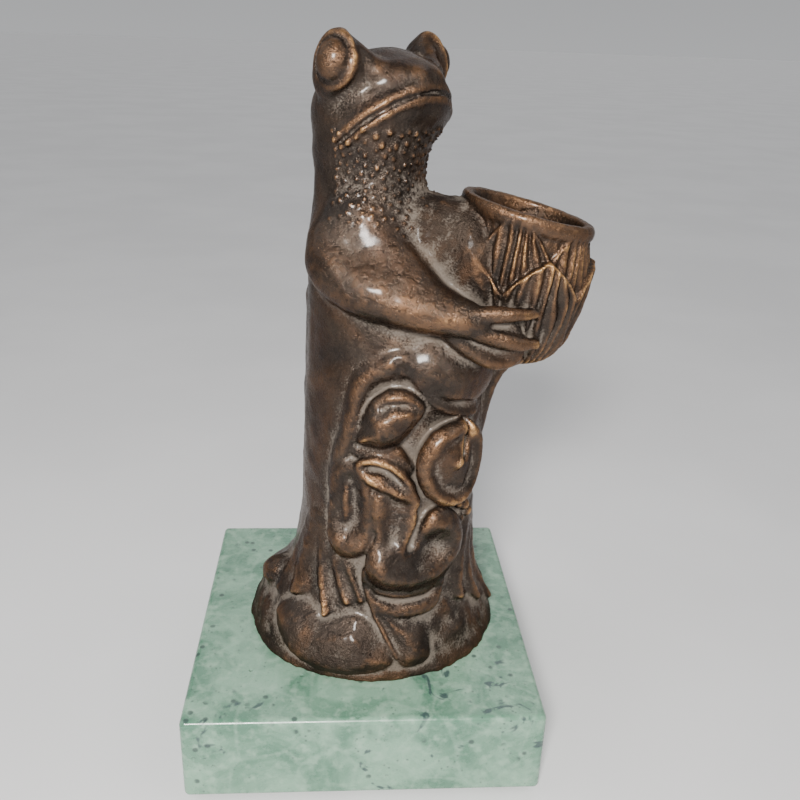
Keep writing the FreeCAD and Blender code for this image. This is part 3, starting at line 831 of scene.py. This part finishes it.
# Leaves and feet in the order that they are laid down: CAD node, the pillar that they lie on, how proud they
# stand, width of the fillets, softness, undercut and seed of the finish, outline, and what is worked on them
RELIEFS = [
    ("lily_pad_low", FLARE, 1.2, 0.8, (1.2, 0.35, 150),
     [(107, 24.6), (103, 19.8), (97, 16.6), (88, 14.4), (74, 13.4), (61, 13.8), (53, 16.4), (50, 22),
      (60, 24.4), (80, 24.2), (98, 26.4)],
     [("rim", 0.3, 1.5, 1.3),
      ("ridge", -0.7, 0.8, 0.6, (101, 21.4), (94, 18.8), (82, 17.8), (65, 17.8), (56, 19)),
      ("ridge", 0.6, 1, 0.6, (99, 21.4), (92, 20.2), (80, 19.4), (66, 19.6)),
      ("bump", 72, 15.8, 0.5, 4, 1.8)]),
    ("ground_pad_front", FLARE, 0.9, 0.8, (1, 0.5, 160),
     [(152, 9.6), (145, 12.8), (136, 13.8), (128, 13), (121, 11.8), (113, 13), (106, 13.8), (100, 13.6),
      (94.5, 12.4), (88.5, 10.2), (83, 7.6), (81.5, 4.6), (87, 3), (96, 2.2), (106, 1.8), (116, 1.8),
      (126, 2.4), (135, 3.8), (144, 6.4)],
     [("dome", 1.8, 2.6),
      ("ridge", 0.7, 1.6, 0.6, (130, 4.6), (114, 3.8), (98, 4.2)),
      ("bump", 112, 9, 0.5, 5, 3)]),
    ("ground_pad_side", FLARE, 0.7, 0.8, (1, 0.5, 170),
     [(95, 16.2), (86, 15.8), (75, 14), (66, 12), (62, 8.5), (63, 4.6), (69, 3), (76, 3), (79.5, 4.4),
      (81, 7.4), (86, 10.4), (91, 13.4)],
     [("dome", 1.5, 2.2),
      ("bump", 72, 8, 0.5, 3, 3)]),
    ("right_foot", FLARE, 0.15, 0.9, (1.2, 0.1, 180),
     [(158, 33), (146, 35), (133, 33), (122, 29.6), (111, 23), (101, 17.6), (106, 16.6), (110.5, 16),
      (115, 15.2), (121, 12.4), (126, 14.4), (135, 15.2), (144, 14), (151, 13), (158, 11.6), (166, 13),
      (170, 20), (167, 27)],
     [("toe", 2.2, 2.4, 0.7, (149, 35), (151, 23), (145, 15.2)),
      ("toe", 1.9, 1.2, 0.9, (143, 33), (133, 21.5), (121, 13.4)),
      ("toe", 1.3, 1, 0.8, (134, 30), (119, 20.5), (110.5, 16.2)),
      ("toe", 1.1, 0.9, 0.8, (124, 28), (109, 20.8), (102.6, 17.6)),
      ("toe", 1.2, 1.6, 0.7, (158, 32), (163, 20), (160, 12.6))]),
    ("left_foot", FLARE, 0.15, 0.9, (1.2, 0.1, 190),
     [(34, 31), (43, 24), (43, 15), (36, 12.6), (28, 11.8), (20, 8.4), (12, 7.4), (4, 3.8), (-6, 4.2),
      (-14, 2.8), (-22, 4), (-24, 12), (-16, 22), (-4, 32), (16, 35)],
     [("toe", 1.9, 1.7, 0.8, (24, 35), (34, 22), (37.5, 14)),
      ("toe", 1.9, 1.5, 0.8, (17, 34), (23, 19), (20, 9.6)),
      ("toe", 1.9, 1.5, 0.8, (10, 34), (9, 18), (4, 5)),
      ("toe", 1.7, 1.5, 0.8, (3, 34), (-7, 17), (-14, 4.2))]),
    ("lily_pad_open", TRUNK, 1.3, 0.8, (1.5, 0.35, 140),
     [(101, 34), (105, 29.4), (103, 24.6), (95, 21), (83, 19.4), (72, 19.2), (60, 20.2), (49, 22.2),
      (40, 26), (38.5, 31), (45, 36), (56, 38.8), (66, 38.4), (72.5, 36), (75, 39), (75, 42.6), (86, 44),
      (98, 44.6), (104, 43), (104, 37)],
     [("bump", 91, 27.2, 2.9, 5.6, 4.6),
      ("ridge", 1.9, 2.7, 0.8, (98, 30), (96, 26), (88, 23.8), (77, 23.2), (65, 23.8), (54, 25.6),
       (48.4, 28.6), (49, 31.8), (55, 34.6), (63, 35.4)),
      ("bump", 64, 30, -1, 3.6, 3),
      ("ridge", 1.5, 1.9, 0.7, (77, 42), (78.4, 36.6), (83, 31.8)),
      ("ridge", -2, 1.1, 0.9, (72.5, 40), (74, 36), (79, 31.2)),
      ("ridge", 1.6, 2, 0.8, (99.5, 43), (100, 39), (100.4, 34))]),
    ("lily_pad_hollow", TRUNK, 1.1, 0.9, (1.8, 0.35, 130),
     [(122, 49.6), (112, 49.2), (103, 45), (100.5, 38.9), (101, 32.6), (107, 28.2), (118, 26.8),
      (128, 28.2), (134.5, 34.5), (134, 41.8), (130, 47)],
     [("rim", 0.7, 2.4, 2.2),
      ("dome", -1.2, 4),
      ("ridge", 1.5, 1.2, 0.6, (119.5, 43.6), (119.5, 40), (119, 36.8)),
      ("bump", 118, 31.6, 2.8, 3.8, 3.4),
      ("ridge", 0.9, 1.7, 0.6, (107, 46.5), (103.8, 42), (103.4, 36), (105, 31))]),
    ("lily_pad_slim", TRUNK, 1.3, 0.7, (1.2, 0.35, 120),
     [(116, 48.8), (107, 45.4), (97, 43), (87, 41.2), (78, 40.4), (75.6, 43), (81, 47), (90, 50.6),
      (102, 52.2), (111, 51.2)],
     [("ridge", 1.6, 1.5, 0.6, (113, 48), (100, 45.9), (88, 43.9), (79, 42.2)),
      ("ridge", 0.9, 1, 0.6, (114, 50), (104, 50.8), (94, 49.8), (84, 46.6), (79, 43.8)),
      ("ridge", -1.1, 0.8, 0.3, (108, 49.1), (98, 48.6), (88, 46.6))]),
    ("lily_pad_notched", TRUNK, 2.2, 0.7, (1.4, 0.35, 110),
     [(49, 59), (60, 58.6), (71, 57), (78.5, 52.6), (79, 47.6), (72, 42.6), (61, 39.8), (50, 39.2),
      (40, 41), (33, 45.4), (31.5, 50.6), (36, 55.8)],
     [("dome", 1.2, 3.4),
      ("rim", 1, 1.6, 1.5),
      ("rim", -0.5, 3.9, 1.3),
      ("ridge", 0.7, 1.8, 0.3, (76, 48), (66, 42.4), (54, 40.8), (42, 43)),
      ("bump", 56.5, 50.2, 1.2, 1.1, 1.3),
      ("bump", 65, 53, 1, 2.8, 3.6),
      ("ridge", 0.5, 0.8, 0.8, (50.8, 58.6), (51.6, 55), (54.6, 51)),
      ("ridge", -2.8, 0.8, 0.9, (47.4, 60), (48.2, 56), (51, 51.4))]),
    ("lily_pad_folded", TRUNK, 0.8, 0.9, (1.4, 0.35, 100),
     [(117, 54.2), (107, 53.2), (98, 53), (89, 54.6), (81, 58), (75, 61.4), (77, 64.4), (87, 66.2),
      (98, 66), (107, 63.8), (114, 60)],
     [("dome", 2.6, 3),
      ("ridge", 0.9, 2.6, 0.4, (108, 61.5), (98, 64), (87, 64.6), (80, 63.2), (77, 61.5)),
      ("ridge", 0.7, 1.8, 0.6, (114, 55.6), (107, 55.2), (98, 55.4), (90, 56.8), (84, 59.2), (79, 61.2)),
      ("ridge", -1.3, 1, 0.3, (101, 62), (96, 63.2), (88, 63.4), (80, 62)),
      ("bump", 100, 58.8, 0.9, 3.4, 2.4)]),
]


def relief_clay(table, proud, finish, outline, works):
    """A leaf or a foot with everything that is worked on it."""
    leaf = Relief(outline, table, proud)
    for kind, *sizes in works:
        getattr(leaf, kind)(*sizes)
    return leaf.finish(*finish)


# The oval of the ground's foot: centre, half widths, and its rough radius
FOOT_X, FOOT_Y, FOOT_RX, FOOT_RY, FOOT_RADIUS = 2.4, 0.2, 29.3, 27.3, 28
# The last sections of the ground, which dive into the frog
TURNED_IN = [(19.5, 4.3, -1.2, 20.1, 19.3), (23, 4.6, -1.3, 18.4, 17.8)]
# Lumps round the ground: heading, distance from its centre, height, size
LUMPS = [(161, 25.5, 5, 5.5), (172, 24.5, 13, 5.5), (188, 24, 9, 6.5), (28, 25.5, 5, 5), (48, 25.5, 6, 5),
         (60, 25, 9, 3.5), (215, 24, 6, 6.5), (240, 24.5, 8, 6), (270, 25, 5, 6), (300, 25.5, 7, 5.5),
         (330, 26, 6, 5.5)]
# A thin vein between the two ground leaves: heading, height, how proud, radius
VEIN = [(99, 18.6, 0.5, 0.35), (93, 14.4, 0.7, 0.4), (87, 10.8, 0.8, 0.45), (80.5, 5.6, 0.6, 0.4)]


def foot_limit(clay):
    """The distance outside the clean oval of the ground's foot."""
    x, y, z = clay.grid()
    return (norm((x - FOOT_X) / FOOT_RX, (y - FOOT_Y) / FOOT_RY) - 1) * FOOT_RADIUS + 0 * z


def ground_clay():
    """The lumpy flared skirt, whose top is hidden inside the frog."""
    clay = Clay((-29.5, -29.5, GROUND - 1.5), (34, 30, GROUND + 30), GROUND_VOXEL)
    clay.add(column(FLARE[:6] + TURNED_IN))
    for heading, out, height, size in LUMPS:
        spot = np.array([FOOT_X, FOOT_Y, GROUND + height]) + outward(heading) * (out - 4.0)
        clay.add(egg(spot, (size, size * 0.8, size * 0.7)), 2.0)
    worn_marks(clay, (0.40, 4.8, 51), (0.18, 1.9, 52), (0.11, 0.9, 53))
    rope(clay, [(on_side(FLARE, a, h, p), r) for a, h, p, r in VEIN], 0.8)
    clay.d = np.maximum(clay.d, foot_limit(clay))
    clay.carve(column(shrunk(TRUNK, 3.5), -4, 30), 0.3)
    floor_cut(clay)
    return clay


def melt(clay, others, soft, depth=0.7):
    """Fills the creases where a piece meets its neighbours with a thin skin over them, as in a casting."""
    grid = np.stack(np.meshgrid(*clay.axes, indexing="ij"), -1).reshape(-1, 3)
    near = np.full(len(grid), FAR, np.float32)
    for other in others:
        near = np.minimum(near, other.sample(grid))
    near, alone = near.reshape(clay.d.shape), clay.d
    skin = np.maximum(smooth_min(alone, near, soft), -near - depth)
    clay.d = np.minimum(np.maximum(skin, alone - soft * 0.95), np.maximum(alone, -near - 4 * depth))


# ------------ meshes

def add_object(name, data):
    obj = bpy.data.objects.new(name, data)
    bpy.context.collection.objects.link(obj)
    return obj


def to_mesh(name, clay):
    """A smooth closed mesh of a clay's surface, without loose crumbs, in metres."""
    points, quads = clay.skin()
    mesh = bpy.data.meshes.new(name)
    mesh.from_pydata((points * MM).tolist(), [], quads.tolist())
    mesh.validate()
    keep_largest(mesh)
    obj = add_object(name, mesh)
    triangles = 2 * len(mesh.polygons)
    if triangles > MAX_TRIANGLES:
        thin = obj.modifiers.new("thin", "DECIMATE")
        thin.ratio = MAX_TRIANGLES / triangles
        graph = bpy.context.evaluated_depsgraph_get()
        mesh = bpy.data.meshes.new_from_object(obj.evaluated_get(graph))
        obj.modifiers.clear()
        obj.data = mesh
        mesh.name = name
    mesh.shade_smooth()
    return obj


def keep_largest(mesh):
    """Deletes every connected part but the largest, and turns the faces outwards."""
    work = bmesh.new()
    work.from_mesh(mesh)
    seen, parts = np.zeros(len(work.verts), bool), []
    for vert in work.verts:
        part = [] if seen[vert.index] else [vert]
        seen[vert.index] = True
        for here in part:
            for edge in here.link_edges:
                there = edge.other_vert(here)
                if not seen[there.index]:
                    seen[there.index] = True
                    part.append(there)
        parts.append(part)
    biggest = max(parts, key=len)
    loose = [vert for part in parts if part is not biggest for vert in part]
    bmesh.ops.delete(work, geom=loose, context="VERTS")
    if work.calc_volume(signed=True) < 0:
        bmesh.ops.reverse_faces(work, faces=work.faces)
    work.to_mesh(mesh)
    work.free()


# ------------ materials

class Shader:
    """The nodes of a material or a sky, built up from short calls."""

    def __init__(self, owner, space="Object"):
        self.owner = owner
        owner.use_nodes = True
        self.tree = owner.node_tree
        self.tree.nodes.clear()
        self.place = self.node("ShaderNodeTexCoord").outputs[space]

    def node(self, kind, inputs=None, **settings):
        node = self.tree.nodes.new(kind)
        for key, value in settings.items():
            setattr(node, key, value)
        for key, value in (inputs or {}).items():
            if isinstance(value, bpy.types.NodeSocket):
                self.tree.links.new(value, node.inputs[key])
            else:
                node.inputs[key].default_value = value
        return node

    def noise(self, scale, detail=4.0, roughness=0.55, distortion=0.0):
        values = {"Vector": self.place, "Scale": scale, "Detail": detail, "Roughness": roughness,
                  "Distortion": distortion}
        return self.node("ShaderNodeTexNoise", values).outputs["Fac"]

    def cells(self, scale, feature="F1"):
        values = {"Vector": self.place, "Scale": scale}
        return self.node("ShaderNodeTexVoronoi", values, feature=feature).outputs["Distance"]

    def attribute(self, name):
        return self.node("ShaderNodeAttribute", attribute_name=name).outputs["Fac"]

    def spread(self, value, low, high, to_low=0.0, to_high=1.0):
        values = {"Value": value, "From Min": low, "From Max": high, "To Min": to_low, "To Max": to_high}
        return self.node("ShaderNodeMapRange", values, interpolation_type="SMOOTHSTEP").outputs["Result"]

    def math(self, operation, a, b):
        return self.node("ShaderNodeMath", {0: a, 1: b}, operation=operation).outputs[0]

    def plus(self, a, b):
        return self.math("ADD", a, b)

    def times(self, a, b):
        return self.math("MULTIPLY", a, b)

    def mix(self, factor, a, b, share=None):
        """Colour b over a, by the factor, of which only a share counts."""
        if share is not None:
            factor = self.times(factor, share)
        node = self.node("ShaderNodeMix", data_type="RGBA")
        for key, value in ((0, factor), (6, a), (7, b)):
            if isinstance(value, bpy.types.NodeSocket):
                self.tree.links.new(value, node.inputs[key])
            else:
                node.inputs[key].default_value = value if key == 0 else (*value, 1.0)
        return node.outputs[2]

    def bump(self, height, depth):
        return self.node("ShaderNodeBump", {"Height": height, "Distance": depth}).outputs["Normal"]

    def surface(self, **inputs):
        skin = self.node("ShaderNodeBsdfPrincipled", {key.replace("_", " "): v for key, v in inputs.items()})
        self.node("ShaderNodeOutputMaterial", {"Surface": skin.outputs[0]})
        return self.owner


# Darkens what the bronze mirrors where it is seen edge on
EDGE_TINT = (0.42, 0.36, 0.32, 1.0)


def bronze_material(name, powdery=1.0):
    """Dark brown patina under wax, worn to warm gold on what stands proud, with pale dust in the creases."""
    m = Shader(bpy.data.materials.new(name))
    worn, dusty, rough = (m.attribute(key) for key in ("worn", "dusty", "rough"))
    cloud, fine, grit = m.noise(160, 5), m.noise(900, 6, 0.65), m.noise(2600, 3, 0.6)
    warm = m.spread(m.noise(70, 4, 0.6, 0.6), 0.44, 0.70)
    patina = m.mix(m.spread(cloud, 0.32, 0.68), (0.023, 0.0172, 0.0140), (0.050, 0.037, 0.0285))
    patina = m.mix(warm, patina, (0.105, 0.055, 0.030), 0.5)
    broken = m.times(m.spread(fine, 0.32, 0.66), 0.45)
    proud = m.plus(worn, m.plus(broken, m.times(warm, 0.5)))
    colour = m.mix(m.spread(proud, 0.65, 2.4), patina, (0.160, 0.086, 0.045), 0.8)
    colour = m.mix(m.spread(proud, 1.95, 2.75), colour, (0.52, 0.30, 0.125), 0.6)
    pits = m.spread(m.cells(520), 0.16, 0.05)
    colour = m.mix(pits, colour, (0.014, 0.010, 0.008), 0.55)
    powder = m.spread(m.plus(dusty, m.times(m.spread(grit, 0.35, 0.7), 0.8)), 0.6, 1.75)
    powder = m.times(powder, 0.65 * powdery)
    colour = m.mix(powder, colour, (0.175, 0.150, 0.125))
    shine = m.plus(m.spread(fine, 0.3, 0.7, 0.20, 0.36), m.times(powder, 0.45))
    shine = m.plus(shine, m.times(rough, 0.25))
    metal = m.times(m.math("SUBTRACT", 1.0, powder), 0.8)
    wax = m.times(m.math("SUBTRACT", 1.0, rough), 0.2)
    relief = m.plus(m.times(cloud, 0.55), m.times(fine, 0.46))
    relief = m.plus(relief, m.times(m.times(grit, m.plus(rough, 0.3)), 0.30))
    relief = m.math("SUBTRACT", relief, m.times(pits, 0.14))
    return m.surface(Base_Color=colour, Metallic=metal, Roughness=shine, Normal=m.bump(relief, 0.0007),
                     Specular_Tint=EDGE_TINT, Coat_Weight=wax, Coat_Roughness=0.15)


def marble_material():
    """Mid green stone with pale clouds, dark clots and fine black specks, polished."""
    m = Shader(bpy.data.materials.new("green_marble"))
    cloud, fine = m.noise(70, 6, 0.62, 0.8), m.noise(420, 5, 0.6)
    colour = m.mix(m.spread(cloud, 0.36, 0.64), (0.075, 0.175, 0.115), (0.185, 0.320, 0.230))
    colour = m.mix(m.spread(fine, 0.48, 0.72), colour, (0.30, 0.44, 0.335), 0.55)
    veins = m.spread(m.cells(85, "DISTANCE_TO_EDGE"), 0.05, 0.0)
    colour = m.mix(veins, colour, (0.29, 0.43, 0.33), 0.20)
    clots = m.spread(m.plus(m.noise(105, 3, 0.6, 1.4), m.times(m.noise(23, 2), 0.55)), 0.935, 0.995)
    colour = m.mix(clots, colour, (0.030, 0.052, 0.056), 0.86)
    specks = m.times(m.spread(m.cells(300), 0.24, 0.12), m.spread(m.noise(120, 2), 0.5, 0.6))
    colour = m.mix(specks, colour, (0.028, 0.046, 0.044), 0.8)
    dots = m.times(m.spread(m.cells(700), 0.22, 0.12), m.spread(m.noise(200, 2), 0.48, 0.6))
    colour = m.mix(dots, colour, (0.045, 0.075, 0.065), 0.7)
    pits = m.times(m.spread(m.cells(240), 0.13, 0.05), m.spread(m.noise(90, 2), 0.52, 0.62))
    shine = m.spread(fine, 0.3, 0.7, 0.20, 0.36)
    relief = m.math("SUBTRACT", m.times(fine, 0.12), m.times(pits, 0.8))
    return m.surface(Base_Color=colour, Roughness=shine, Normal=m.bump(relief, 0.00022),
                     Specular_IOR_Level=0.55, Subsurface_Weight=0.04, Subsurface_Radius=(0.002, 0.004, 0.003))


def felt_material():
    """Pressed dark green felt: matted fibres with a soft sheen."""
    m = Shader(bpy.data.materials.new("green_felt"))
    fibre, mat = m.noise(2400, 4, 0.7, 2.0), m.noise(380, 4, 0.6)
    colour = m.mix(m.spread(mat, 0.35, 0.65), (0.010, 0.028, 0.016), (0.026, 0.062, 0.037))
    colour = m.mix(m.spread(fibre, 0.5, 0.75), colour, (0.060, 0.110, 0.075), 0.6)
    relief = m.plus(m.times(fibre, 0.8), mat)
    return m.surface(Base_Color=colour, Roughness=0.95, Sheen_Weight=0.4, Normal=m.bump(relief, 0.0006))


def steel_material():
    """Bright zinc plating with a faint grain and small stains."""
    m = Shader(bpy.data.materials.new("zinc_steel"))
    grain, stain = m.noise(1500, 3), m.noise(180, 4)
    colour = m.mix(m.spread(stain, 0.45, 0.7), (0.60, 0.62, 0.64), (0.42, 0.42, 0.40))
    return m.surface(Base_Color=colour, Metallic=1.0, Roughness=m.spread(grain, 0.3, 0.7, 0.24, 0.42),
                     Normal=m.bump(grain, 0.0001))


def floor_material():
    """Pale, even studio floor."""
    m = Shader(bpy.data.materials.new("pale_floor"))
    colour = m.mix(m.spread(m.noise(9, 3), 0.35, 0.65), (0.66, 0.66, 0.67), (0.70, 0.70, 0.71))
    return m.surface(Base_Color=colour, Roughness=0.7)


def dress(obj, material):
    obj.data.materials.clear()
    obj.data.materials.append(material)


# ------------ assembly

def build_bronze():
    """Every bronze piece: its mesh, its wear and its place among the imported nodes."""
    frog, cup, ground = frog_clay(), cup_clay(), ground_clay()
    below_rim = step(96.5, 92.5, frog.axes[2] - GROUND)
    melt(frog, [cup, ground], 0.9 + 2.4 * frog.rough * below_rim)
    clays = {"frog_body": (frog, "body_casting"), "lotus_cup_looks": (cup, "lotus_cup"),
             "ground_looks": (ground, "ground_casting")}
    laid = [frog, ground, cup]
    pieces = [("lotus_stalk", 1.2, stalk_clay())]
    pieces += [(node, soft, relief_clay(table, proud, *form)) for node, table, proud, soft, *form in RELIEFS]
    for node, soft, clay in pieces:
        melt(clay, laid, soft)
        laid.append(clay)
        clays[node + "_looks"] = (clay, node)
    whole = Clay((-30, -31, GROUND - 1), (47, 31, GROUND + 133), WHOLE_VOXEL)
    join_all(whole, [clay for clay, _ in clays.values()])
    near, wide = whole.bend(1.0), whole.bend(2.4)
    material = bronze_material("patinated_bronze")
    for name, (clay, node) in clays.items():
        obj = to_mesh(name, clay)
        mark(obj, clay, whole, near, wide)
        dress(obj, material)
        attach(obj, "root")
        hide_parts(node)


def join_all(whole, clays):
    """The union of all the pieces, on one coarser grid."""
    for clay in clays:
        low, high = (np.array([axis[k] for axis in clay.axes]) for k in (0, -1))
        cut, x, y, z = whole.window(low, high, -whole.voxel)
        grid = np.stack([a + 0 * (x + y + z) for a in (x, y, z)], -1).reshape(-1, 3)
        there = clay.sample(grid).reshape(whole.d[cut].shape)
        whole.d[cut] = np.minimum(whole.d[cut], there)


def mark(obj, clay, whole, near, wide):
    """Writes on each vertex how worn, how dusty and how rough it is."""
    mesh = obj.data
    points, normals = (np.empty(len(mesh.vertices) * 3, np.float32) for _ in range(2))
    mesh.vertices.foreach_get("co", points)
    mesh.vertices.foreach_get("normal", normals)
    points = points.reshape(-1, 3) / MM
    upward = normals.reshape(-1, 3)[:, 2]
    sharp, broad = whole.sample(points, near), whole.sample(points, wide)
    fine = clay.sample(points, clay.bend(0.45))
    height = points[:, 2] - GROUND
    # Ridges are rubbed bright and creases hold dust; low down the gold is dulled and more dust lies
    worn = np.clip(sharp * 0.6, -1, 1.0) + np.clip(broad * 0.9, -0.5, 0.5)
    worn = (worn + np.clip(fine * clay.gilding, -0.5, 0.8)) * (0.45 + 0.55 * step(0.5, 5.0, height))
    dusty = np.clip(-sharp * 0.6, -0.6, 1.1) + np.clip(-broad * 1.4, -0.4, 0.8) + 0.15 * upward
    dusty = dusty + 0.25 * step(80, 45, height)
    rough = np.maximum(0.8 * step(15, 5, height), np.minimum(clay.sample(points, clay.rough), 1))
    for name, value in (("worn", worn - 0.35 * rough), ("dusty", dusty + 0.4 * rough), ("rough", rough)):
        layer = mesh.attributes.new(name, "FLOAT", "POINT")
        layer.data.foreach_set("value", value.astype(np.float32))


FELT_CORNER, FELT_SPACING, FELT_MARGIN, FELT_RAG = 3.0 * MM, 1.0 * MM, 0.1 * MM, 0.003


def build_felt():
    """The felt under the plinth: a sheet with round corners and a slightly ragged edge."""
    low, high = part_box("felt_pad")
    corner, thick = FELT_CORNER, high.z - low.z
    half = (high.x - low.x) / 2 - FELT_MARGIN
    work = bmesh.new()
    count = round(2 * half / FELT_SPACING)
    rng = np.random.default_rng(71)
    rows = []
    for j in range(count + 1):
        row = []
        for i in range(count + 1):
            x, y = (-half + 2 * half * k / count for k in (i, j))
            inner = half - corner
            ox, oy = max(abs(x) - inner, 0), max(abs(y) - inner, 0)
            reach = math.hypot(ox, oy)
            if reach > corner:
                x = math.copysign(inner + ox * corner / reach, x)
                y = math.copysign(inner + oy * corner / reach, y)
            if i in (0, count) or j in (0, count):
                x, y = (v * (1 - rng.uniform(0, FELT_RAG)) for v in (x, y))
            row.append(work.verts.new((x, y, low.z + thick / 2)))
        rows.append(row)
    for a, b in zip(rows, rows[1:]):
        for k in range(count):
            work.faces.new((a[k], a[k + 1], b[k + 1], b[k]))
    mesh = bpy.data.meshes.new("felt_sheet")
    work.to_mesh(mesh)
    work.free()
    felt = add_object("felt_sheet", mesh)
    solid = felt.modifiers.new("thickness", "SOLIDIFY")
    solid.thickness, solid.offset = thick * 0.98, 0.0
    soft = felt.modifiers.new("soft edge", "BEVEL")
    soft.width, soft.segments, soft.limit_method = 0.25 * MM, 2, "ANGLE"
    dress(felt, felt_material())
    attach(felt, "root")
    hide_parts("felt_pad")


def dress_frame():
    """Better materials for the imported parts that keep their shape."""
    dress(bpy.data.objects["marble_plinth"], marble_material())
    steel = steel_material()
    for name in ("flat_washer", "spring_washer", "mounting_screw"):
        dress(bpy.data.objects[name], steel)
    dress(bpy.data.objects["mounting_bar"], bronze_material("raw_bronze_bar", 0.2))


# ------------ stage

# In millimetres and degrees
CAMERA_AT = (-5.7, -174.4, 150.2)
CAMERA_DOWN, CAMERA_LEFT, CAMERA_ROLL = 22.85, 4.33, 2.12
LENS, SENSOR = 38.54, 36.0


def place_camera():
    """A camera that looks along +Y, turned to its left, tipped down and rolled."""
    data = bpy.data.cameras.new("view")
    data.lens, data.sensor_width, data.clip_start = LENS, SENSOR, 0.01
    camera = add_object("view", data)
    down, left, roll = (math.radians(a) for a in (CAMERA_DOWN, CAMERA_LEFT, CAMERA_ROLL))
    turned = Matrix.Rotation(-left, 4, "Z") @ Matrix.Rotation(math.pi / 2 - down, 4, "X")
    turned = turned @ Matrix.Rotation(roll, 4, "Z")
    camera.matrix_world = Matrix.Translation(Vector(CAMERA_AT) * MM) @ turned
    bpy.context.scene.camera = camera


def light(name, kind, spot, target, power, colour, **settings):
    """A lamp at a spot that shines on a target; a sun shines on everything from the same direction."""
    data = bpy.data.lights.new(name, kind)
    data.energy, data.color = power, colour
    for key, value in settings.items():
        setattr(data, key, value)
    lamp = add_object(name, data)
    lamp.location = spot
    lamp.rotation_euler = (Vector(spot) - Vector(target)).to_track_quat("Z", "Y").to_euler()


FLOOR_HALF_SIDE, FLOOR_HEIGHT = 20.0, -0.0002
KEY_SIZE, KEY_TARGET = 0.07, (0, 0, 0.08)
# Name, where from, spread in degrees, strength, colour
SUNS = [
    ("soft_left", (-1.3, 0.2, 1.3), 60, 0.9, (0.96, 0.98, 1.0)),
    ("soft_right", (1.3, -0.3, 1.1), 50, 0.75, (1.0, 0.98, 0.95)),
    ("rim", (0.4, 1.3, 1.2), 50, 0.6, (1, 1, 1)),
]


def build_stage():
    """A pale floor, a small key lamp near the camera, soft suns and the sky."""
    floor_mesh = bpy.data.meshes.new("floor")
    corners = [(x * FLOOR_HALF_SIDE, y * FLOOR_HALF_SIDE, 0) for x, y in ((-1, -1), (1, -1), (1, 1), (-1, 1))]
    floor_mesh.from_pydata(corners, [], [(0, 1, 2, 3)])
    floor = add_object("floor", floor_mesh)
    floor.location.z = FLOOR_HEIGHT
    dress(floor, floor_material())
    light("key", "AREA", (-0.06, -0.32, 0.27), KEY_TARGET, 3.2, (1.0, 0.97, 0.93), size=KEY_SIZE)
    for name, spot, spread, strength, colour in SUNS:
        light(name, "SUN", spot, (0, 0, 0), strength, colour, angle=math.radians(spread))
    build_sky(0.50, 0.20)


def build_sky(horizon, zenith, steep=0.45):
    """A plain sky: at the horizon as bright as the floor, and darker above, up to the height steep."""
    sky = Shader(bpy.data.worlds.new("studio"), "Generated")
    up = sky.node("ShaderNodeSeparateXYZ", {0: sky.place}).outputs["Z"]
    ramp = {"Value": up, "From Max": steep, "To Min": horizon, "To Max": zenith}
    fall = sky.node("ShaderNodeMapRange", ramp)
    glow = {"Color": (0.97, 0.98, 1.0, 1), "Strength": fall.outputs["Result"]}
    sky.node("ShaderNodeOutputWorld", {"Surface": sky.node("ShaderNodeBackground", glow).outputs[0]})
    bpy.context.scene.world = sky.owner


build_bronze()
build_felt()
dress_frame()
build_stage()
place_camera()
